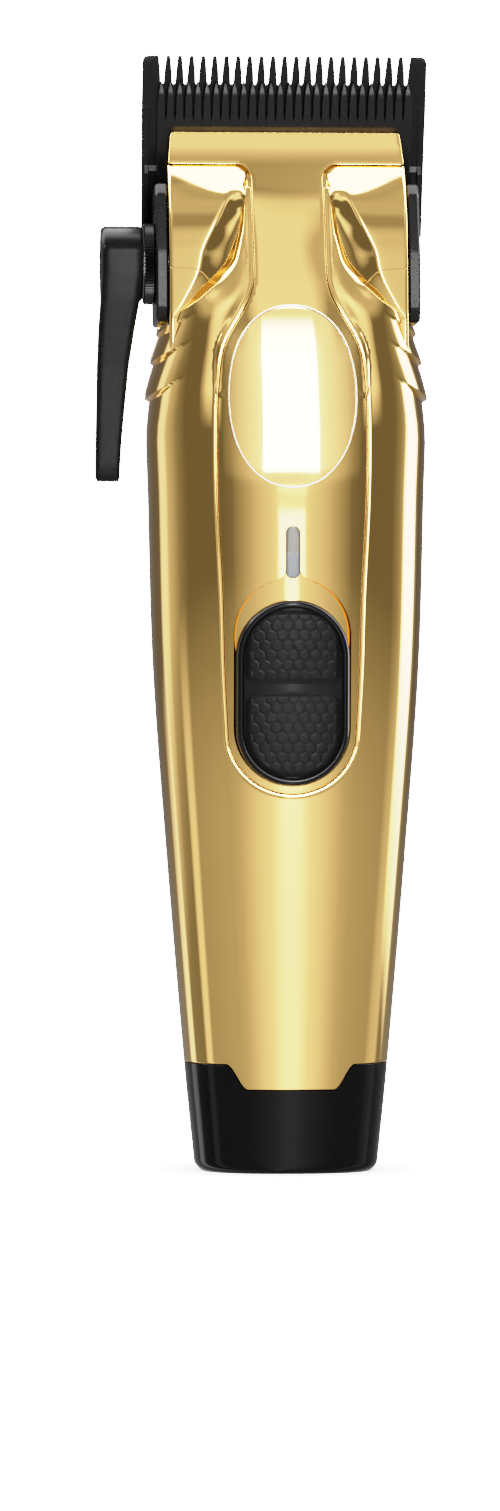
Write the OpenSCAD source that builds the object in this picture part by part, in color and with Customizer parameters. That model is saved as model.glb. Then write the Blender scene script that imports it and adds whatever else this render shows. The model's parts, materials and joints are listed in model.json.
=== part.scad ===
// Cordless hair clipper standing on its base: two casing halves, a front spine panel with a
// slide switch, a wedge head with an adjustable fixed blade, and a motor, cell and board inside.
// +Z runs from the base to the blade tips, -Y faces the user (switch side), +X is the right side.
// The origin is the middle of the flat base.

/* [Body] */
// Height from the base to the fixed blade's tips
total_h = 178; // [177:0.5:179]
// Wall of the casing halves
wall = 1.8; // [1.6:0.1:2]
// Roundness of the body's cross-section, where 2 is an ellipse
squareness = 2.5; // [2.3:0.1:2.6]
// Height of the black end cap at its shoulders
cap_h = 17.3; // [16:0.1:18]

/* [Blades] */
// Lean of the blade plane, tips towards the user
blade_tilt = 20; // [18:1:22]
// Width across the fixed blade
fixed_w = 45.6; // [45:0.1:46]
// Length of the fixed blade from heel to tips
fixed_len = 32; // [31:0.5:33]
// Teeth of the fixed blade between its corner blocks
fixed_teeth = 21; // [19:1:23]
// Teeth of the moving cutter
cutter_teeth = 28; // [24:1:30]
// Width across the cutter
cutter_w = 40.8; // [40:0.1:41]
// Distance from the cutter's tips to the fixed blade's tips with the lever down
open_gap = 4; // [3.6:0.1:4.2]

/* [Motion] */
// Swing of the taper lever
lever_swing = 60; // [50:5:60]
// Radius of the crank that the lever turns
crank_r = 3.2; // [3:0.1:3.4]
// Half of the cutter's side-to-side stroke
cutter_throw = 1.1; // [1:0.05:1.2]
// Travel of the power slider
slide_travel = 2.8; // [2.4:0.1:2.8]

/* [Power] */
// Diameter of the lithium cell
cell_d = 18.4; // [18:0.1:18.6]
// Length of the lithium cell
cell_len = 65; // [64:0.5:65.5]
// Diameter of the motor can
motor_d = 24; // [23:0.5:24]

/* [Hidden] */
$fn = 64;

gold = [0.83, 0.66, 0.3];
black = [0.08, 0.08, 0.08];
steel = [0.7, 0.7, 0.72];
copper = [0.75, 0.42, 0.25];
brass = [0.78, 0.62, 0.3];

fit = 0.05;  // running clearance between sliding or turning parts
seam = 0.1;  // gap at a visible parting line
far = 60;    // reach of a cutting prism

// Body sections: height, half width, depth in front of the axis, depth behind it
BODY = [
    [0, 14.5, 13.6, 13.6], [17, 16.2, 15.0, 15.0], [50, 19.0, 16.8, 16.6], [80, 21.2, 18.2, 17.8],
    [107, 22.0, 18.9, 18.4], [123, 22.2, 18.3, 18.0], [135, 20.3, 16.2, 16.9], [144, 19.4, 12.6, 15.4],
    [153, 19.2, 7.2, 12]
];
// Centre line of the spine panel in the head, where it leaves the body's own curve: height, y
SPINE = [
    [123, -18.9], [130, -17.7], [140, -14.3], [150, -9.0], [156, -4.9], [160.5, -1.6], [166, 0.9]
];
// Front faces of the head's two shoulder blocks: height, y
BLOCK = [[128, -12.6], [136, -11.9], [145, -10.6], [151, -9.2], [155, -7.2], [158, -4.6], [160.4, -1.7]];
// Floor of the channels between the spine and the blocks: height, y
CHANNEL = [[128, -10], [136, -8.6], [145, -6.9], [151, -5.6], [155, -4.2], [158, -2.6], [160.4, -1.5]];
// Ridge where a block meets its channel: height, distance from the middle
RIDGE = [[128, 18.2], [136, 18], [139, 16.2], [145, 14], [153.5, 11.3], [158, 8.6], [160.4, 7.3]];
// Seam of the spine panel: height, distance from the middle
PANEL = [
    [69.7, 10.1], [80, 10.65], [91, 10.95], [107, 11.7], [120, 11.8], [126.4, 11.4], [130, 10.8],
    [132.5, 9.8], [136, 7.8], [138.8, 6.4], [141.5, 5.8], [150, 5.75], [160.4, 5.75]
];
// Upper edge of the front casing half: distance from the middle, height
WING = [[7.2, 152.6], [7.8, 148.6], [9, 145.1], [11, 142.6], [13.4, 140.6], [16.3, 138.6], [18.6, 136.6], [20.2, 134.6]];
// Upper edge of the rear casing half: distance from the middle, height
REAR_EDGE = [[0, 143.2], [8, 142.8], [13, 141.2], [17, 138], [20.2, 134.6]];

panel_end = 60;        // lowest point of the spine panel's round end
panel_proud = 0.5;     // how far the spine panel stands out of the casing
panel_t = 1.6;         // thickness of the spine panel
bar_z = 160.5;         // underside of the bar across the head's top
bar_top = 166;         // top of that bar
bar_w = 18.8;          // half width of that bar
head_w = 19;           // half width of the head
collar_z = 143.7;      // parting line between nose cap and collar
collar_low = 130;      // bottom of the collar, inside the casing
plate_t = 1.9;         // thickness of a side plate

blade_t = 3;                                          // thickness of the fixed blade
cutter_t = 2.2;                                       // thickness of the cutter
tip_y = 1;                                            // contact plane at the tips
heel_y = tip_y + fixed_len * sin(blade_tilt);         // contact plane at the heel
heel_z = total_h - fixed_len * cos(blade_tilt);
cutter_tip = fixed_len - open_gap;                    // cutter tips, along the blade
cutter_heel = cutter_tip - 16;                        // cutter's lower edge, along the blade
blade_travel = 2 * crank_r * sin(lever_swing / 2);    // what the lever moves the blade by

lever_y = 0;
lever_z = 144.7;
lever_r = 6;           // radius of the lever's hub
shaft_r = 2.5;
motor_y = 1;           // motor axis
motor_z = 84;          // underside of the motor
motor_h = 32;
cell_y = 2.65;
cell_z = 14;
board_y = -9.2;        // front face of the control board
board_t = 1.2;
pin_r = 1.2;           // radius of drive pin and crank pin
cam_z = 121.5;
pin_top = 138;
rod_y = 0.5;           // guide rod of the cutter's yoke
rod_z = 151.2;

switch_z = 76;                                        // middle height of the slider
switch_y = -19.3;                                     // top of the slider's tray frame at switch_z
switch_lean = 2.4;                                    // the slider's path leans with the body
crown_r = 43;                                         // curve of tray and slider across the body
slider_w = 8.97;
slider_low = 61.3 - switch_z;
slider_high = 90.6 - switch_z;
recess_w = 9.8;
recess_low = 60.7 - switch_z;
recess_high = 94.7 - switch_z;
neck_w = 1.71;
neck_top = 102.8 - switch_z;
light_w = 1.17;
light_low = 93.9 - switch_z;
light_high = 102.3 - switch_z;
recess_depth = 1;
stem_low = -7;         // lower side of the slider's stem
stem_h = 3.6;

medal_z = 122.7;
medal_w = 10.15;
medal_h = 14.5;

// ---- Smooth curves through table rows ----

function span(t, x, i = 0) = i >= len(t) - 2 || x < t[i + 1][0] ? i : span(t, x, i + 1);
function tangent(t, i, k) =
    let (a = max(i - 1, 0), b = min(i + 1, len(t) - 1)) (t[b][k] - t[a][k]) / (t[b][0] - t[a][0]);
function curve(t, x, k = 1) =
    let (
        i = span(t, x),
        h = t[i + 1][0] - t[i][0],
        s = min(max((x - t[i][0]) / h, 0), 1),
        s2 = s * s,
        s3 = s2 * s
    )
    (2 * s3 - 3 * s2 + 1) * t[i][k] + (s3 - 2 * s2 + s) * h * tangent(t, i, k)
        + (3 * s2 - 2 * s3) * t[i + 1][k] + (s3 - s2) * h * tangent(t, i + 1, k);
function ease(s) = let (c = min(max(s, 0), 1)) c * c * (3 - 2 * c);
function mix(a, b, s) = a + (b - a) * s;
function steps(a, b, n) = [for (i = [0 : n]) a + (b - a) * i / n];

// ---- The body's surface ----

function body_w(z) = curve(BODY, z, 1);
function body_front(z) = curve(BODY, z, 2);
function body_back(z) = curve(BODY, z, 3);
function power(v) = sign(v) * pow(abs(v), 2 / squareness);
// A point on the body at a height and an angle, moved inwards
function body_point(z, angle, inset = 0) = [
    (body_w(z) - inset) * power(cos(angle)),
    ((sin(angle) < 0 ? body_front(z) : body_back(z)) - inset) * power(sin(angle)),
    z
];
// The grip ridges at the sides: each swells going down and ends in a step
function ridge_swell(z) =
    z > 136 || z < 117 ? 0
        : z > 133.1 ? (136 - z) / 2.9 * 0.35
        : z > 128.6 ? mix(-0.2, 0.4, (133.1 - z) / 4.5)
        : z > 122.9 ? mix(-0.2, 0.45, (128.6 - z) / 5.7)
        : mix(-0.75, 0, (122.9 - z) / 5.9);
function near_side(angle) = 1 - min((1 - abs(power(cos(angle)))) / 0.16, 1);
function ridged_point(z, angle, inset) =
    let (
        side = near_side(angle),
        p = body_point(z, angle, inset - ridge_swell(z) * ease(side)),
        lift = 5.2 * (1 - side) * min(max((z - 104) / 14, 0), 1) * min(max((152 - z) / 16, 0), 1)
    )
    [p[0], p[1], z + lift];
// Depth of the body's front at a height and a distance from the middle
function front_y(x, z) =
    -body_front(z) * pow(1 - pow(min(abs(x) / body_w(z), 1), squareness), 1 / squareness);

// ---- The spine panel and the head's front ----

function spine_y(z) = z < 123 ? front_y(0, z) - panel_proud : curve(SPINE, z);
function panel_y(x, z) =
    z < 123 ? front_y(x, z) - panel_proud
        : spine_y(z) + mix(front_y(x, 123) - front_y(0, 123), x * x * 0.006, ease((z - 123) / 20));
function panel_w(z) =
    z < PANEL[0][0]
        ? PANEL[0][1] * sqrt(max(1 - pow((PANEL[0][0] - z) / (PANEL[0][0] - panel_end), 2), 0))
        : curve(PANEL, z);
// Front of a shoulder block, its channel and the edge beside the spine
function head_y(x, z) =
    let (
        a = abs(x),
        ridge = curve(RIDGE, z),
        side = pow(max(a - head_w + 1, 0), 2) * 0.8,
        low = curve(CHANNEL, z),
        face = curve(BLOCK, z) + side
    )
    a < 7 ? max(low + 0.6, panel_y(0, z) + panel_t + 0.3)
        : a < ridge ? mix(low, face, pow(ease((a - 7) / (ridge - 7)), 1.5)) : face;

// ---- Solids from rows of points ----

// rows[i] is a ring of n points: its first half runs along the outside, the rest back along the inside
module loft(rows) {
    m = len(rows);
    n = len(rows[0]);
    points = [for (r = rows) each r];
    sides = [
        for (i = [0 : m - 2], j = [0 : n - 1])
        let (a = i * n + j, b = i * n + (j + 1) % n, c = a + n, d = b + n)
        each [[a, c, d], [a, d, b]]
    ];
    ends = [
        for (j = [0 : n / 2 - 2])
        let (a = j, b = j + 1, c = n - 2 - j, d = n - 1 - j, top = (m - 1) * n)
        each [
            [a, b, c], [a, c, d],
            [top + a, top + c, top + b], [top + a, top + d, top + c]
        ]
    ];
    polyhedron(points = points, faces = concat(sides, ends));
}

function reversed(list) = [for (i = [len(list) - 1 : -1 : 0]) list[i]];

// Wall that follows the body between two angles
module body_wall(heights, from, to, n, thickness, proud = 0) {
    angles = steps(from, to, n);
    loft([
        for (z = heights) concat(
            [for (a = angles) ridged_point(z, a, -proud)],
            [for (a = reversed(angles)) body_point(z, a, thickness - proud)]
        )
    ]);
}

// A flat outline in x and z, extruded through the part along y between two depths
module prism(y0, y1) {
    translate([0, y1, 0]) rotate([90, 0, 0]) linear_extrude(y1 - y0) children();
}

// A flat outline in y and z, extruded along x between two places
module side_prism(x0, x1) {
    translate([x0, 0, 0]) rotate([90, 0, 90]) linear_extrude(x1 - x0) children();
}

module blade_frame() {
    translate([0, heel_y, heel_z]) rotate([blade_tilt, 0, 0]) children();
}

module switch_frame() {
    translate([0, switch_y, switch_z]) rotate([switch_lean, 0, 0]) children();
}

module rod(r, x0, x1) {
    translate([x0, 0, 0]) rotate([0, 90, 0]) cylinder(r = r, h = x1 - x0);
}

module mirrored() {
    children();
    mirror([1, 0, 0]) children();
}

// Machine screw along +Z with its head below z = 0
module screw(r, length, head_r, head_h) {
    difference() {
        union() {
            translate([0, 0, -head_h]) cylinder(r = head_r, h = head_h);
            cylinder(r = r, h = length);
        }
        for (turn = [0, 90])
            rotate([0, 0, turn]) translate([0, 0, -head_h]) cube([head_r * 1.3, head_r * 0.28, head_h], center = true);
    }
}

// ---- Outlines, in x and z ----

module panel_outline(grow) {
    arc = steps(0, 90, 10);
    low = [for (a = arc) [
        (PANEL[0][1] + grow) * sin(a),
        PANEL[0][0] - (PANEL[0][0] - panel_end + grow) * cos(a)
    ]];
    high = [for (z = steps(72, 142, 35)) [panel_w(z) + grow, z]];
    right = concat(low, high, [[panel_w(150) + grow, 150], [panel_w(150) + grow, 160]]);
    polygon(concat(right, [for (p = reversed(right)) if (p[0] > 0.001) [-p[0], p[1]]]));
}

// Everything above a casing half's upper edge
module above_edge(edge) {
    right = [for (p = edge) p];
    polygon(concat(
        [[far, edge[len(edge) - 1][1]]], reversed(right),
        [for (p = right) if (p[0] > 0.001) [-p[0], p[1]]],
        [[-far, edge[len(edge) - 1][1]], [-far, 200], [far, 200]]
    ));
}

// Gold tongue that dips into the end cap
module tongue(grow) {
    polygon([
        [-10 - grow, cap_h + 2], [-10 - grow, cap_h], [-7 - grow, cap_h - 4 - grow],
        [7 + grow, cap_h - 4 - grow], [10 + grow, cap_h], [10 + grow, cap_h + 2]
    ]);
}

module stadium(w, low, high) {
    translate([0, low + w]) circle(w);
    translate([0, high - w]) circle(w);
    translate([-w, low + w]) square([2 * w, high - low - 2 * w]);
}

module keyhole(grow) {
    stadium(recess_w + grow, recess_low - grow, recess_high + grow);
    stadium(neck_w + grow, 0, neck_top + grow);
}

module medal_outline(grow) {
    polygon([for (a = [0 : 6 : 354]) [
        (medal_w + grow) * sign(cos(a)) * pow(abs(cos(a)), 0.92),
        medal_z + (medal_h + grow) * sign(sin(a)) * pow(abs(sin(a)), 0.92)
    ]]);
}

// ---- Casing ----

shell_heights = concat(
    [cap_h + seam - 4, cap_h + seam], steps(24, 104, 8), [109, 113, 117, 120, 122.85, 122.95, 126],
    [128.55, 128.65, 131, 133.05, 133.15, 136, 139, 143, 148, 153]
);
parting = 0.06;    // keeps each half off the parting plane, in degrees

module front_shell() {
    color(gold) difference() {
        body_wall(shell_heights, 180 + parting, 360 - parting, 32, wall);
        prism(-far, 0) panel_outline(seam);
        prism(-far, far) above_edge(WING);
        // room for the head's collar and the side plates
        translate([-head_w - 0.15, -12.9, collar_low - 0.5]) cube([2 * head_w + 0.3, 20, 40]);
        translate([-far, -12.9, 134.9]) cube([2 * far, 20, 40]);
        // below the cap's shoulders only the tongue is left
        prism(-far, far) difference() {
            translate([-far, 0]) square([2 * far, cap_h + seam]);
            tongue(0);
        }
    }
    color(gold) for (z = [34, 50]) mirrored() translate([14.2, -3, z]) rotate([-90, 0, 0]) difference() {
        cylinder(r = 2, h = 2.9);
        translate([0, 0, -1]) cylinder(r = 0.85, h = 5);
    }
}

module rear_shell() {
    color(gold) difference() {
        body_wall([for (z = shell_heights) if (z > cap_h) z], parting, 180 - parting, 32, wall);
        prism(-far, far) above_edge(REAR_EDGE);
        translate([-head_w - 0.15, -5, collar_low - 0.5]) cube([2 * head_w + 0.3, 18.6, 40]);
        translate([-far, -5, 134.9]) cube([2 * far, 18.6, 40]);
        for (z = [34, 50]) mirrored() translate([14.2, 3, z]) rotate([-90, 0, 0]) cylinder(r = 2.1, h = 20);
    }
    color(gold) for (z = [34, 50]) mirrored() translate([14.2, 0.1, z]) rotate([-90, 0, 0]) difference() {
        cylinder(r = 2, h = 7);
        translate([0, 0, -1]) cylinder(r = 1.1, h = 10);
    }
}

// The bar across the head's top and the strip below it, as one sheet
module spine_panel() {
    heights = concat(
        [for (a = steps(4, 84, 8)) PANEL[0][0] - (PANEL[0][0] - panel_end) * cos(a)],
        steps(72, 122, 10), steps(124, 142, 9), steps(144, bar_z - 0.02, 7)
    );
    columns = steps(-1, 1, 24);
    bar_heights = [bar_z, 162, 164, bar_top];
    color(gold) difference() {
        loft(concat(
            [for (z = heights) concat(
                [for (u = columns) [u * panel_w(z), panel_y(u * panel_w(z), z), z]],
                [for (u = reversed(columns)) [u * panel_w(z), panel_y(u * panel_w(z), z) + panel_t, z]]
            )],
            [for (z = bar_heights) concat(
                [for (u = columns) [u * bar_w, panel_y(0, z), z]],
                [for (u = reversed(columns)) [u * bar_w, panel_y(0, z) + 1.3, z]]
            )]
        ));
        switch_frame() prism(-far, far) keyhole(0);
        prism(-far, -5) medal_outline(seam);
    }
}

module medallion() {
    columns = steps(-1, 1, 20);
    low = medal_z - medal_h - 1;
    color(gold) intersection() {
        loft([for (z = steps(low, medal_z + medal_h + 1, 16)) concat(
            [for (u = columns) [u * 11, panel_y(u * 11, z) + 0.15, z]],
            [for (u = reversed(columns)) [u * 11, panel_y(u * 11, z) + panel_t, z]]
        )]);
        prism(-far, -5) medal_outline(0);
    }
}

// Shoulder blocks, their channels and a bridge under the spine, with cheeks back to the blade plane
module head_shell(heights, extra = 0) {
    columns = steps(-1, 1, 36);
    w = head_w - extra;
    loft([for (z = heights)
        let (back = heel_y - (z - heel_z) * tan(blade_tilt) - 0.35)
        concat(
            [[-w, min(back, 14.2), z]],
            [for (u = columns) [u * w, head_y(u * w, z), z]],
            [[w, min(back, 14.2), z]],
            [[w - 1.4, min(back, 14.2), z]],
            [for (u = reversed(columns)) [u * (w - 1.4), head_y(u * (w - 1.4), z) + 1.4, z]],
            [[-w + 1.4, min(back, 14.2), z]]
        )
    ]);
}

module nose_cap() {
    color(gold) difference() {
        head_shell(concat(steps(collar_z + seam / 2, 158, 9), [159, 160, bar_z - seam]));
        translate([0, lever_y, lever_z]) rod(shaft_r + 0.2, -far, 0);
        mirrored() for (p = plate_screw_places) translate([0, p[0], p[1]]) rod(0.85, 10, far);
        // room for the cutter's stroke
        blade_frame() translate([-far, -cutter_t - 0.3, cutter_heel - 0.5]) cube([2 * far, 20, 30]);
    }
}

module head_collar() {
    color(gold) difference() {
        head_shell(steps(collar_low, collar_z - seam / 2, 6));
        translate([0, lever_y, lever_z]) rod(shaft_r + 0.2, -far, 0);
    }
}

// ---- Switch ----

// A curved plate in the switch frame, between two depths below the tray frame's top
module crowned(top, bottom) {
    translate([0, crown_r, -40]) linear_extrude(80) difference() {
        circle(crown_r - top);
        circle(crown_r - bottom);
        translate([-far, 0]) square([2 * far, 2 * far]);
    }
}

module switch_tray() {
    color(gold) switch_frame() difference() {
        intersection() {
            crowned(recess_depth, recess_depth + 1);
            prism(-far, far) keyhole(-fit);
        }
        // slot for the slider's stem
        translate([-2.2, -far, stem_low - 0.4]) cube([4.4, 2 * far, stem_h + 0.8 + slide_travel]);
        prism(-far, far) stadium(light_w + fit, light_low - fit, light_high + fit);
    }
}

module switch_slider() {
    color(black) switch_frame() {
        difference() {
            intersection() {
                crowned(-1.5, recess_depth - 0.1);
                prism(-far, far) stadium(slider_w, slider_low, slider_high);
            }
            intersection() {
                crowned(-3, -0.2);
                prism(-far, far) { upper_pad_outline(0.1); lower_pad_outline(0.1); }
            }
        }
        // stem through the tray to the switch on the board
        translate([-1.8, 0.6, stem_low]) cube([3.6, 5.1, stem_h]);
    }
}

pad_w = 7.6;
module upper_pad_outline(grow) {
    intersection() {
        stadium(pad_w + grow, slider_low + 1.3 - grow, slider_high - 1.3 + grow);
        translate([-far, 16.3 - 14.65 - grow]) square([2 * far, far]);
    }
}

module lower_pad_outline(grow) {
    intersection() {
        stadium(pad_w + grow, slider_low + 1.3 - grow, slider_high - 1.3 + grow);
        translate([-far, -far + 0.4 + grow]) square([2 * far, far]);
    }
}

module thumb_pad() {
    color([0.12, 0.12, 0.12]) switch_frame() intersection() {
        crowned(-1.2, -0.25);
        prism(-far, far) children();
    }
}

module upper_thumb_pad() { thumb_pad() upper_pad_outline(0); }
module lower_thumb_pad() { thumb_pad() lower_pad_outline(0); }

module status_light() {
    color([0.8, 0.82, 0.85]) {
        switch_frame() intersection() {
            crowned(0.35, recess_depth + 1.6);
            prism(-far, far) stadium(light_w, light_low, light_high);
        }
        // light guide down to the board
        switch_frame() {
            translate([-light_w + 0.2, recess_depth + 1.55, 2.3]) cube([2 * light_w - 0.4, 1, 23.7]);
            translate([-light_w + 0.2, recess_depth + 1.6, 2.3]) cube([2 * light_w - 0.4, 5.3, 1.3]);
        }
    }
}

// ---- End cap ----

cap_round = 1.6;
function cap_inset(z) = z < cap_round ? cap_round - sqrt(cap_round * cap_round - pow(cap_round - z, 2)) : 0;

module end_cap() {
    angles = steps(0, 360, 64);
    ring = [for (i = [0 : len(angles) - 2]) angles[i]];
    heights = [0, 0.15, 0.5, 1, cap_round, 4, 7, 10, 13, 15, cap_h];
    m = len(heights);
    n = len(ring);
    color(black) difference() {
        polyhedron(
            points = [for (z = heights, a = ring) body_point(z, a, cap_inset(z))],
            faces = concat(
                [for (i = [0 : m - 2], j = [0 : n - 1])
                    let (a = i * n + j, b = i * n + (j + 1) % n)
                    each [[a, a + n, b + n], [a, b + n, b]]],
                [[for (j = [0 : n - 1]) j]],
                [[for (j = [n - 1 : -1 : 0]) (m - 1) * n + j]]
            )
        );
        // hollow, as a plain oval pocket
        translate([0, 0, 2.4]) linear_extrude(20) polygon([for (a = steps(0, 354, 59)) [
            12.9 * power(cos(a)), 12.1 * power(sin(a))
        ]]);
        prism(-far, 0) tongue(seam);
        // charging socket's slot
        translate([0, 0, -1]) linear_extrude(5) slot_outline(4.5, 1.65);
        for (x = [-9, 9]) translate([x, 0, -1]) cylinder(r = 1.25, h = 5);
        for (y = [-8, 8]) translate([0, y, -1]) {
            cylinder(r = 1.1, h = 5);
            cylinder(r = 2.1, h = 2.2);
        }
    }
}

module slot_outline(half, r) {
    translate([-half + r, -r]) square([2 * half - 2 * r, 2 * r]);
    for (x = [-half + r, half - r]) translate([x, 0]) circle(r);
}

module cap_screws() {
    color(steel) for (y = [-8, 8]) translate([0, y, 1.2]) screw(1, 7.6, 1.9, 1);
}

module charge_socket() {
    color(steel) translate([0, 0, 0.3]) difference() {
        linear_extrude(7.2) slot_outline(4.45, 1.6);
        translate([0, 0, -1]) linear_extrude(7) slot_outline(4.15, 1.3);
    }
    color(black) translate([-3.3, -0.35, 1.2]) cube([6.6, 0.7, 5.5]);
}

module charge_contacts() {
    color(brass) for (x = [-9, 9]) translate([x, 0, 0.3]) {
        cylinder(r = 1.2, h = 4.5);
        translate([0, 0, 2.2]) cylinder(r = 1.9, h = 0.6);
    }
}

// ---- Side plates and taper lever ----

function plate_back(z) = heel_y - (z - heel_z) * tan(blade_tilt) - 0.45;

module plate_outline() {
    polygon([
        [-7.5, 135], [-9, 137], [-8.2, 146], [-5, 155.5], [-3.2, 157.4],
        [plate_back(157.4), 157.4], [plate_back(147), 147], [9.5, 139], [7.5, 135]
    ]);
}

module side_plate() {
    difference() {
        side_prism(head_w + 0.1, head_w + 0.1 + plate_t) plate_outline();
        for (p = plate_screw_places)
            translate([0, p[0], p[1]]) {
                rod(1.1, 0, far);
                rod(1.9, head_w + 1.2, far);
            }
    }
}

plate_screw_places = [[-3.4, 153.5], [5, 152]];

module left_side_plate() {
    color(black) difference() {
        mirror([1, 0, 0]) side_plate();
        translate([0, lever_y, lever_z]) rod(shaft_r + fit, -far, 0);
    }
}

module right_side_plate() { color(black) side_plate(); }

module side_plate_screws() {
    color(black) mirrored() for (p = plate_screw_places)
        translate([head_w + 1.25, p[0], p[1]]) rotate([0, -90, 0]) screw(0.8, 3.6, 1.8, 0.7);
}

hub_out = -29.6;
hub_in = -22.9;
ring_in = -head_w - 0.1 - plate_t - fit;

module detent_ring() {
    teeth = 60;
    color(black) translate([ring_in, lever_y, lever_z]) rotate([0, -90, 0]) difference() {
        linear_extrude(ring_in - hub_in - fit) polygon([
            for (i = [0 : 2 * teeth - 1]) let (r = i % 2 ? 6.4 : 6.1, a = i * 180 / teeth) [r * cos(a), r * sin(a)]
        ]);
        translate([0, 0, -1]) cylinder(r = shaft_r + fit, h = 6);
    }
}

module taper_lever() {
    color(black) difference() {
        union() {
            translate([0, lever_y, lever_z]) rod(lever_r, hub_out, hub_in);
            // thumb arm, narrowing to its foot
            prism(-8.2, -4.6) polygon([
                [-29.1, 146], [-29.1, 139], [-29.8, 125], [-30.7, 110.1], [-30.2, 109.6], [-26.7, 109.6],
                [-26.2, 110.1], [-25.1, 124], [-23.4, 138], [-22.9, 146]
            ]);
            // block that joins the arm to the hub
            translate([hub_out + 0.3, -8.2, 143]) cube([hub_in - hub_out - 0.3, 6, 4.2]);
        }
        translate([0, lever_y, lever_z]) {
            rod(3.1, hub_out - 1, hub_out + 1.2);
            rod(1.25, hub_out - 1, hub_in + 1);
            // square drive on the shaft's end
            translate([hub_in - 2.2, -1.75, -1.75]) cube([3, 3.5, 3.5]);
        }
    }
}

// Crank places in the blade frame, so that the pin moves the carrier along the blade
crank_angle = blade_tilt + lever_swing / 2;

module lever_shaft() {
    color(steel) translate([0, lever_y, lever_z]) {
        difference() {
            union() {
                translate([hub_in - 2.1, -1.7, -1.7]) cube([2.2, 3.4, 3.4]);
                rod(shaft_r, hub_in + fit, -15.4);
                rod(4.5, -15.4, -13.4);
                rotate([crank_angle, 0, 0]) translate([0, crank_r, 0]) rod(pin_r, -13.5, -9.8);
            }
            rod(0.95, hub_in - 3, hub_in + 4);
        }
    }
}

module lever_screw() {
    color(steel) translate([hub_out + 1.2, lever_y, lever_z]) rotate([0, 90, 0]) screw(0.9, 9, 2.9, 1);
}

// ---- Blades ----

fixed_pitch = 1.867;

function fixed_outline() =
    let (
        half = fixed_w / 2,
        root = fixed_len - 4.9,
        reach = (fixed_teeth + 1) / 2 * fixed_pitch,
        gaps = [for (i = [0 : fixed_teeth]) (i - fixed_teeth / 2) * fixed_pitch]
    )
    concat(
        [[-half + 0.6, 1], [-half + 1.6, 0], [half - 1.6, 0], [half - 0.6, 1]],
        [[half, root - 4], [half, fixed_len - 0.9], [half - 0.25, fixed_len - 0.25], [half - 0.9, fixed_len]],
        [for (x = reversed(gaps)) each [
            [x + 0.68, fixed_len], [x + 0.62, fixed_len - 0.35], [x + 0.22, root + 0.25], [x + 0.1, root],
            [x - 0.1, root], [x - 0.22, root + 0.25], [x - 0.62, fixed_len - 0.35], [x - 0.68, fixed_len]
        ]],
        [[-half + 0.9, fixed_len], [-half + 0.25, fixed_len - 0.25], [-half, fixed_len - 0.9], [-half, root - 4]]
    );

blade_screw_x = 9;
blade_screw_z = 6.2;
rib_x = cutter_w / 2 + cutter_throw + 0.15;

module fixed_blade() {
    color(black) blade_frame() difference() {
        union() {
            prism(0, blade_t) polygon(fixed_outline());
            // side ribs with a sloped upper end, just clear of the cutter's stroke
            mirrored() side_prism(rib_x, rib_x + 0.75) polygon([[0.5, 1.5], [-0.9, 1.5], [-0.9, 13], [0, 14.4], [0.5, 14.4]]);
        }
        // skin-side slope that thins the teeth
        side_prism(-far, far) polygon([[blade_t, 18], [blade_t + 3, 18], [blade_t + 3, 40], [0.1, 40], [0.8, fixed_len]]);
        // relief for the cutter below the teeth
        side_prism(-20.9, 20.9) polygon([[-1, 16], [0.35, 16.4], [0.35, 22.6], [-1, 23]]);
        mirrored() translate([blade_screw_x, 0, blade_screw_z]) rotate([-90, 0, 0]) {
            translate([0, 0, -1]) cylinder(r = 1.75, h = 9);
            translate([0, 0, blade_t - 1.2]) cylinder(r = 3.1, h = 3);
        }
    }
}

module blade_screws() {
    color(steel) blade_frame() mirrored() translate([blade_screw_x, blade_t - 1.2, blade_screw_z])
        rotate([90, 0, 0]) screw(1.65, 4.2, 2.9, 1.6);
}

// Plate under the fixed blade's heel, with a lug round the lever's crank pin
module blade_carrier() {
    centre = [lever_y - heel_y, lever_z - heel_z];
    pin_y = centre[0] * cos(blade_tilt) + centre[1] * sin(blade_tilt) + crank_r * cos(lever_swing / 2);
    pin_z = -centre[0] * sin(blade_tilt) + centre[1] * cos(blade_tilt) + crank_r * sin(lever_swing / 2);
    color(steel) blade_frame() difference() {
        union() {
            translate([-15.6, -2.5, -0.8]) cube([31.2, 2.45, 12.2]);
            side_prism(-13.1, -10.1) polygon([
                [-0.1, 7.6], [-0.1, 0], [pin_y - 2.2, pin_z - 3], [pin_y - 2.2, pin_z + 2.2], [-8, 5.1], [-3, 7.6]
            ]);
        }
        // slot for the crank pin
        for (dy = [-0.1, 0.55]) translate([0, pin_y + dy, pin_z]) rod(pin_r + 0.08, -14, -9);
        translate([-14, pin_y - 0.1, pin_z - pin_r - 0.08]) cube([5, 0.65, 2 * pin_r + 0.16]);
        mirrored() translate([blade_screw_x, -5, blade_screw_z]) rotate([-90, 0, 0]) cylinder(r = 1.66, h = 9);
    }
}

cutter_pitch = (cutter_w - 1.2) / (cutter_teeth - 1);

function cutter_outline() =
    let (half = cutter_w / 2, root = cutter_tip - 6.1, tips = [for (i = [0 : cutter_teeth - 1]) i - (cutter_teeth - 1) / 2])
    concat(
        [[-half + 1, cutter_heel], [half - 1, cutter_heel], [half, cutter_heel + 1]],
        [for (i = reversed(tips)) let (x = i * cutter_pitch) each [
            [x + 0.64, root + 1.4], [x + 0.56, cutter_tip - 2.4], [x + 0.36, cutter_tip - 1.1], [x + 0.12, cutter_tip],
            [x - 0.12, cutter_tip], [x - 0.36, cutter_tip - 1.1], [x - 0.56, cutter_tip - 2.4], [x - 0.64, root + 1.4],
            each (i > tips[0] + 0.5 ? [[x - cutter_pitch / 2, root]] : [])
        ]],
        [[-half, cutter_heel + 1]]
    );

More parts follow.
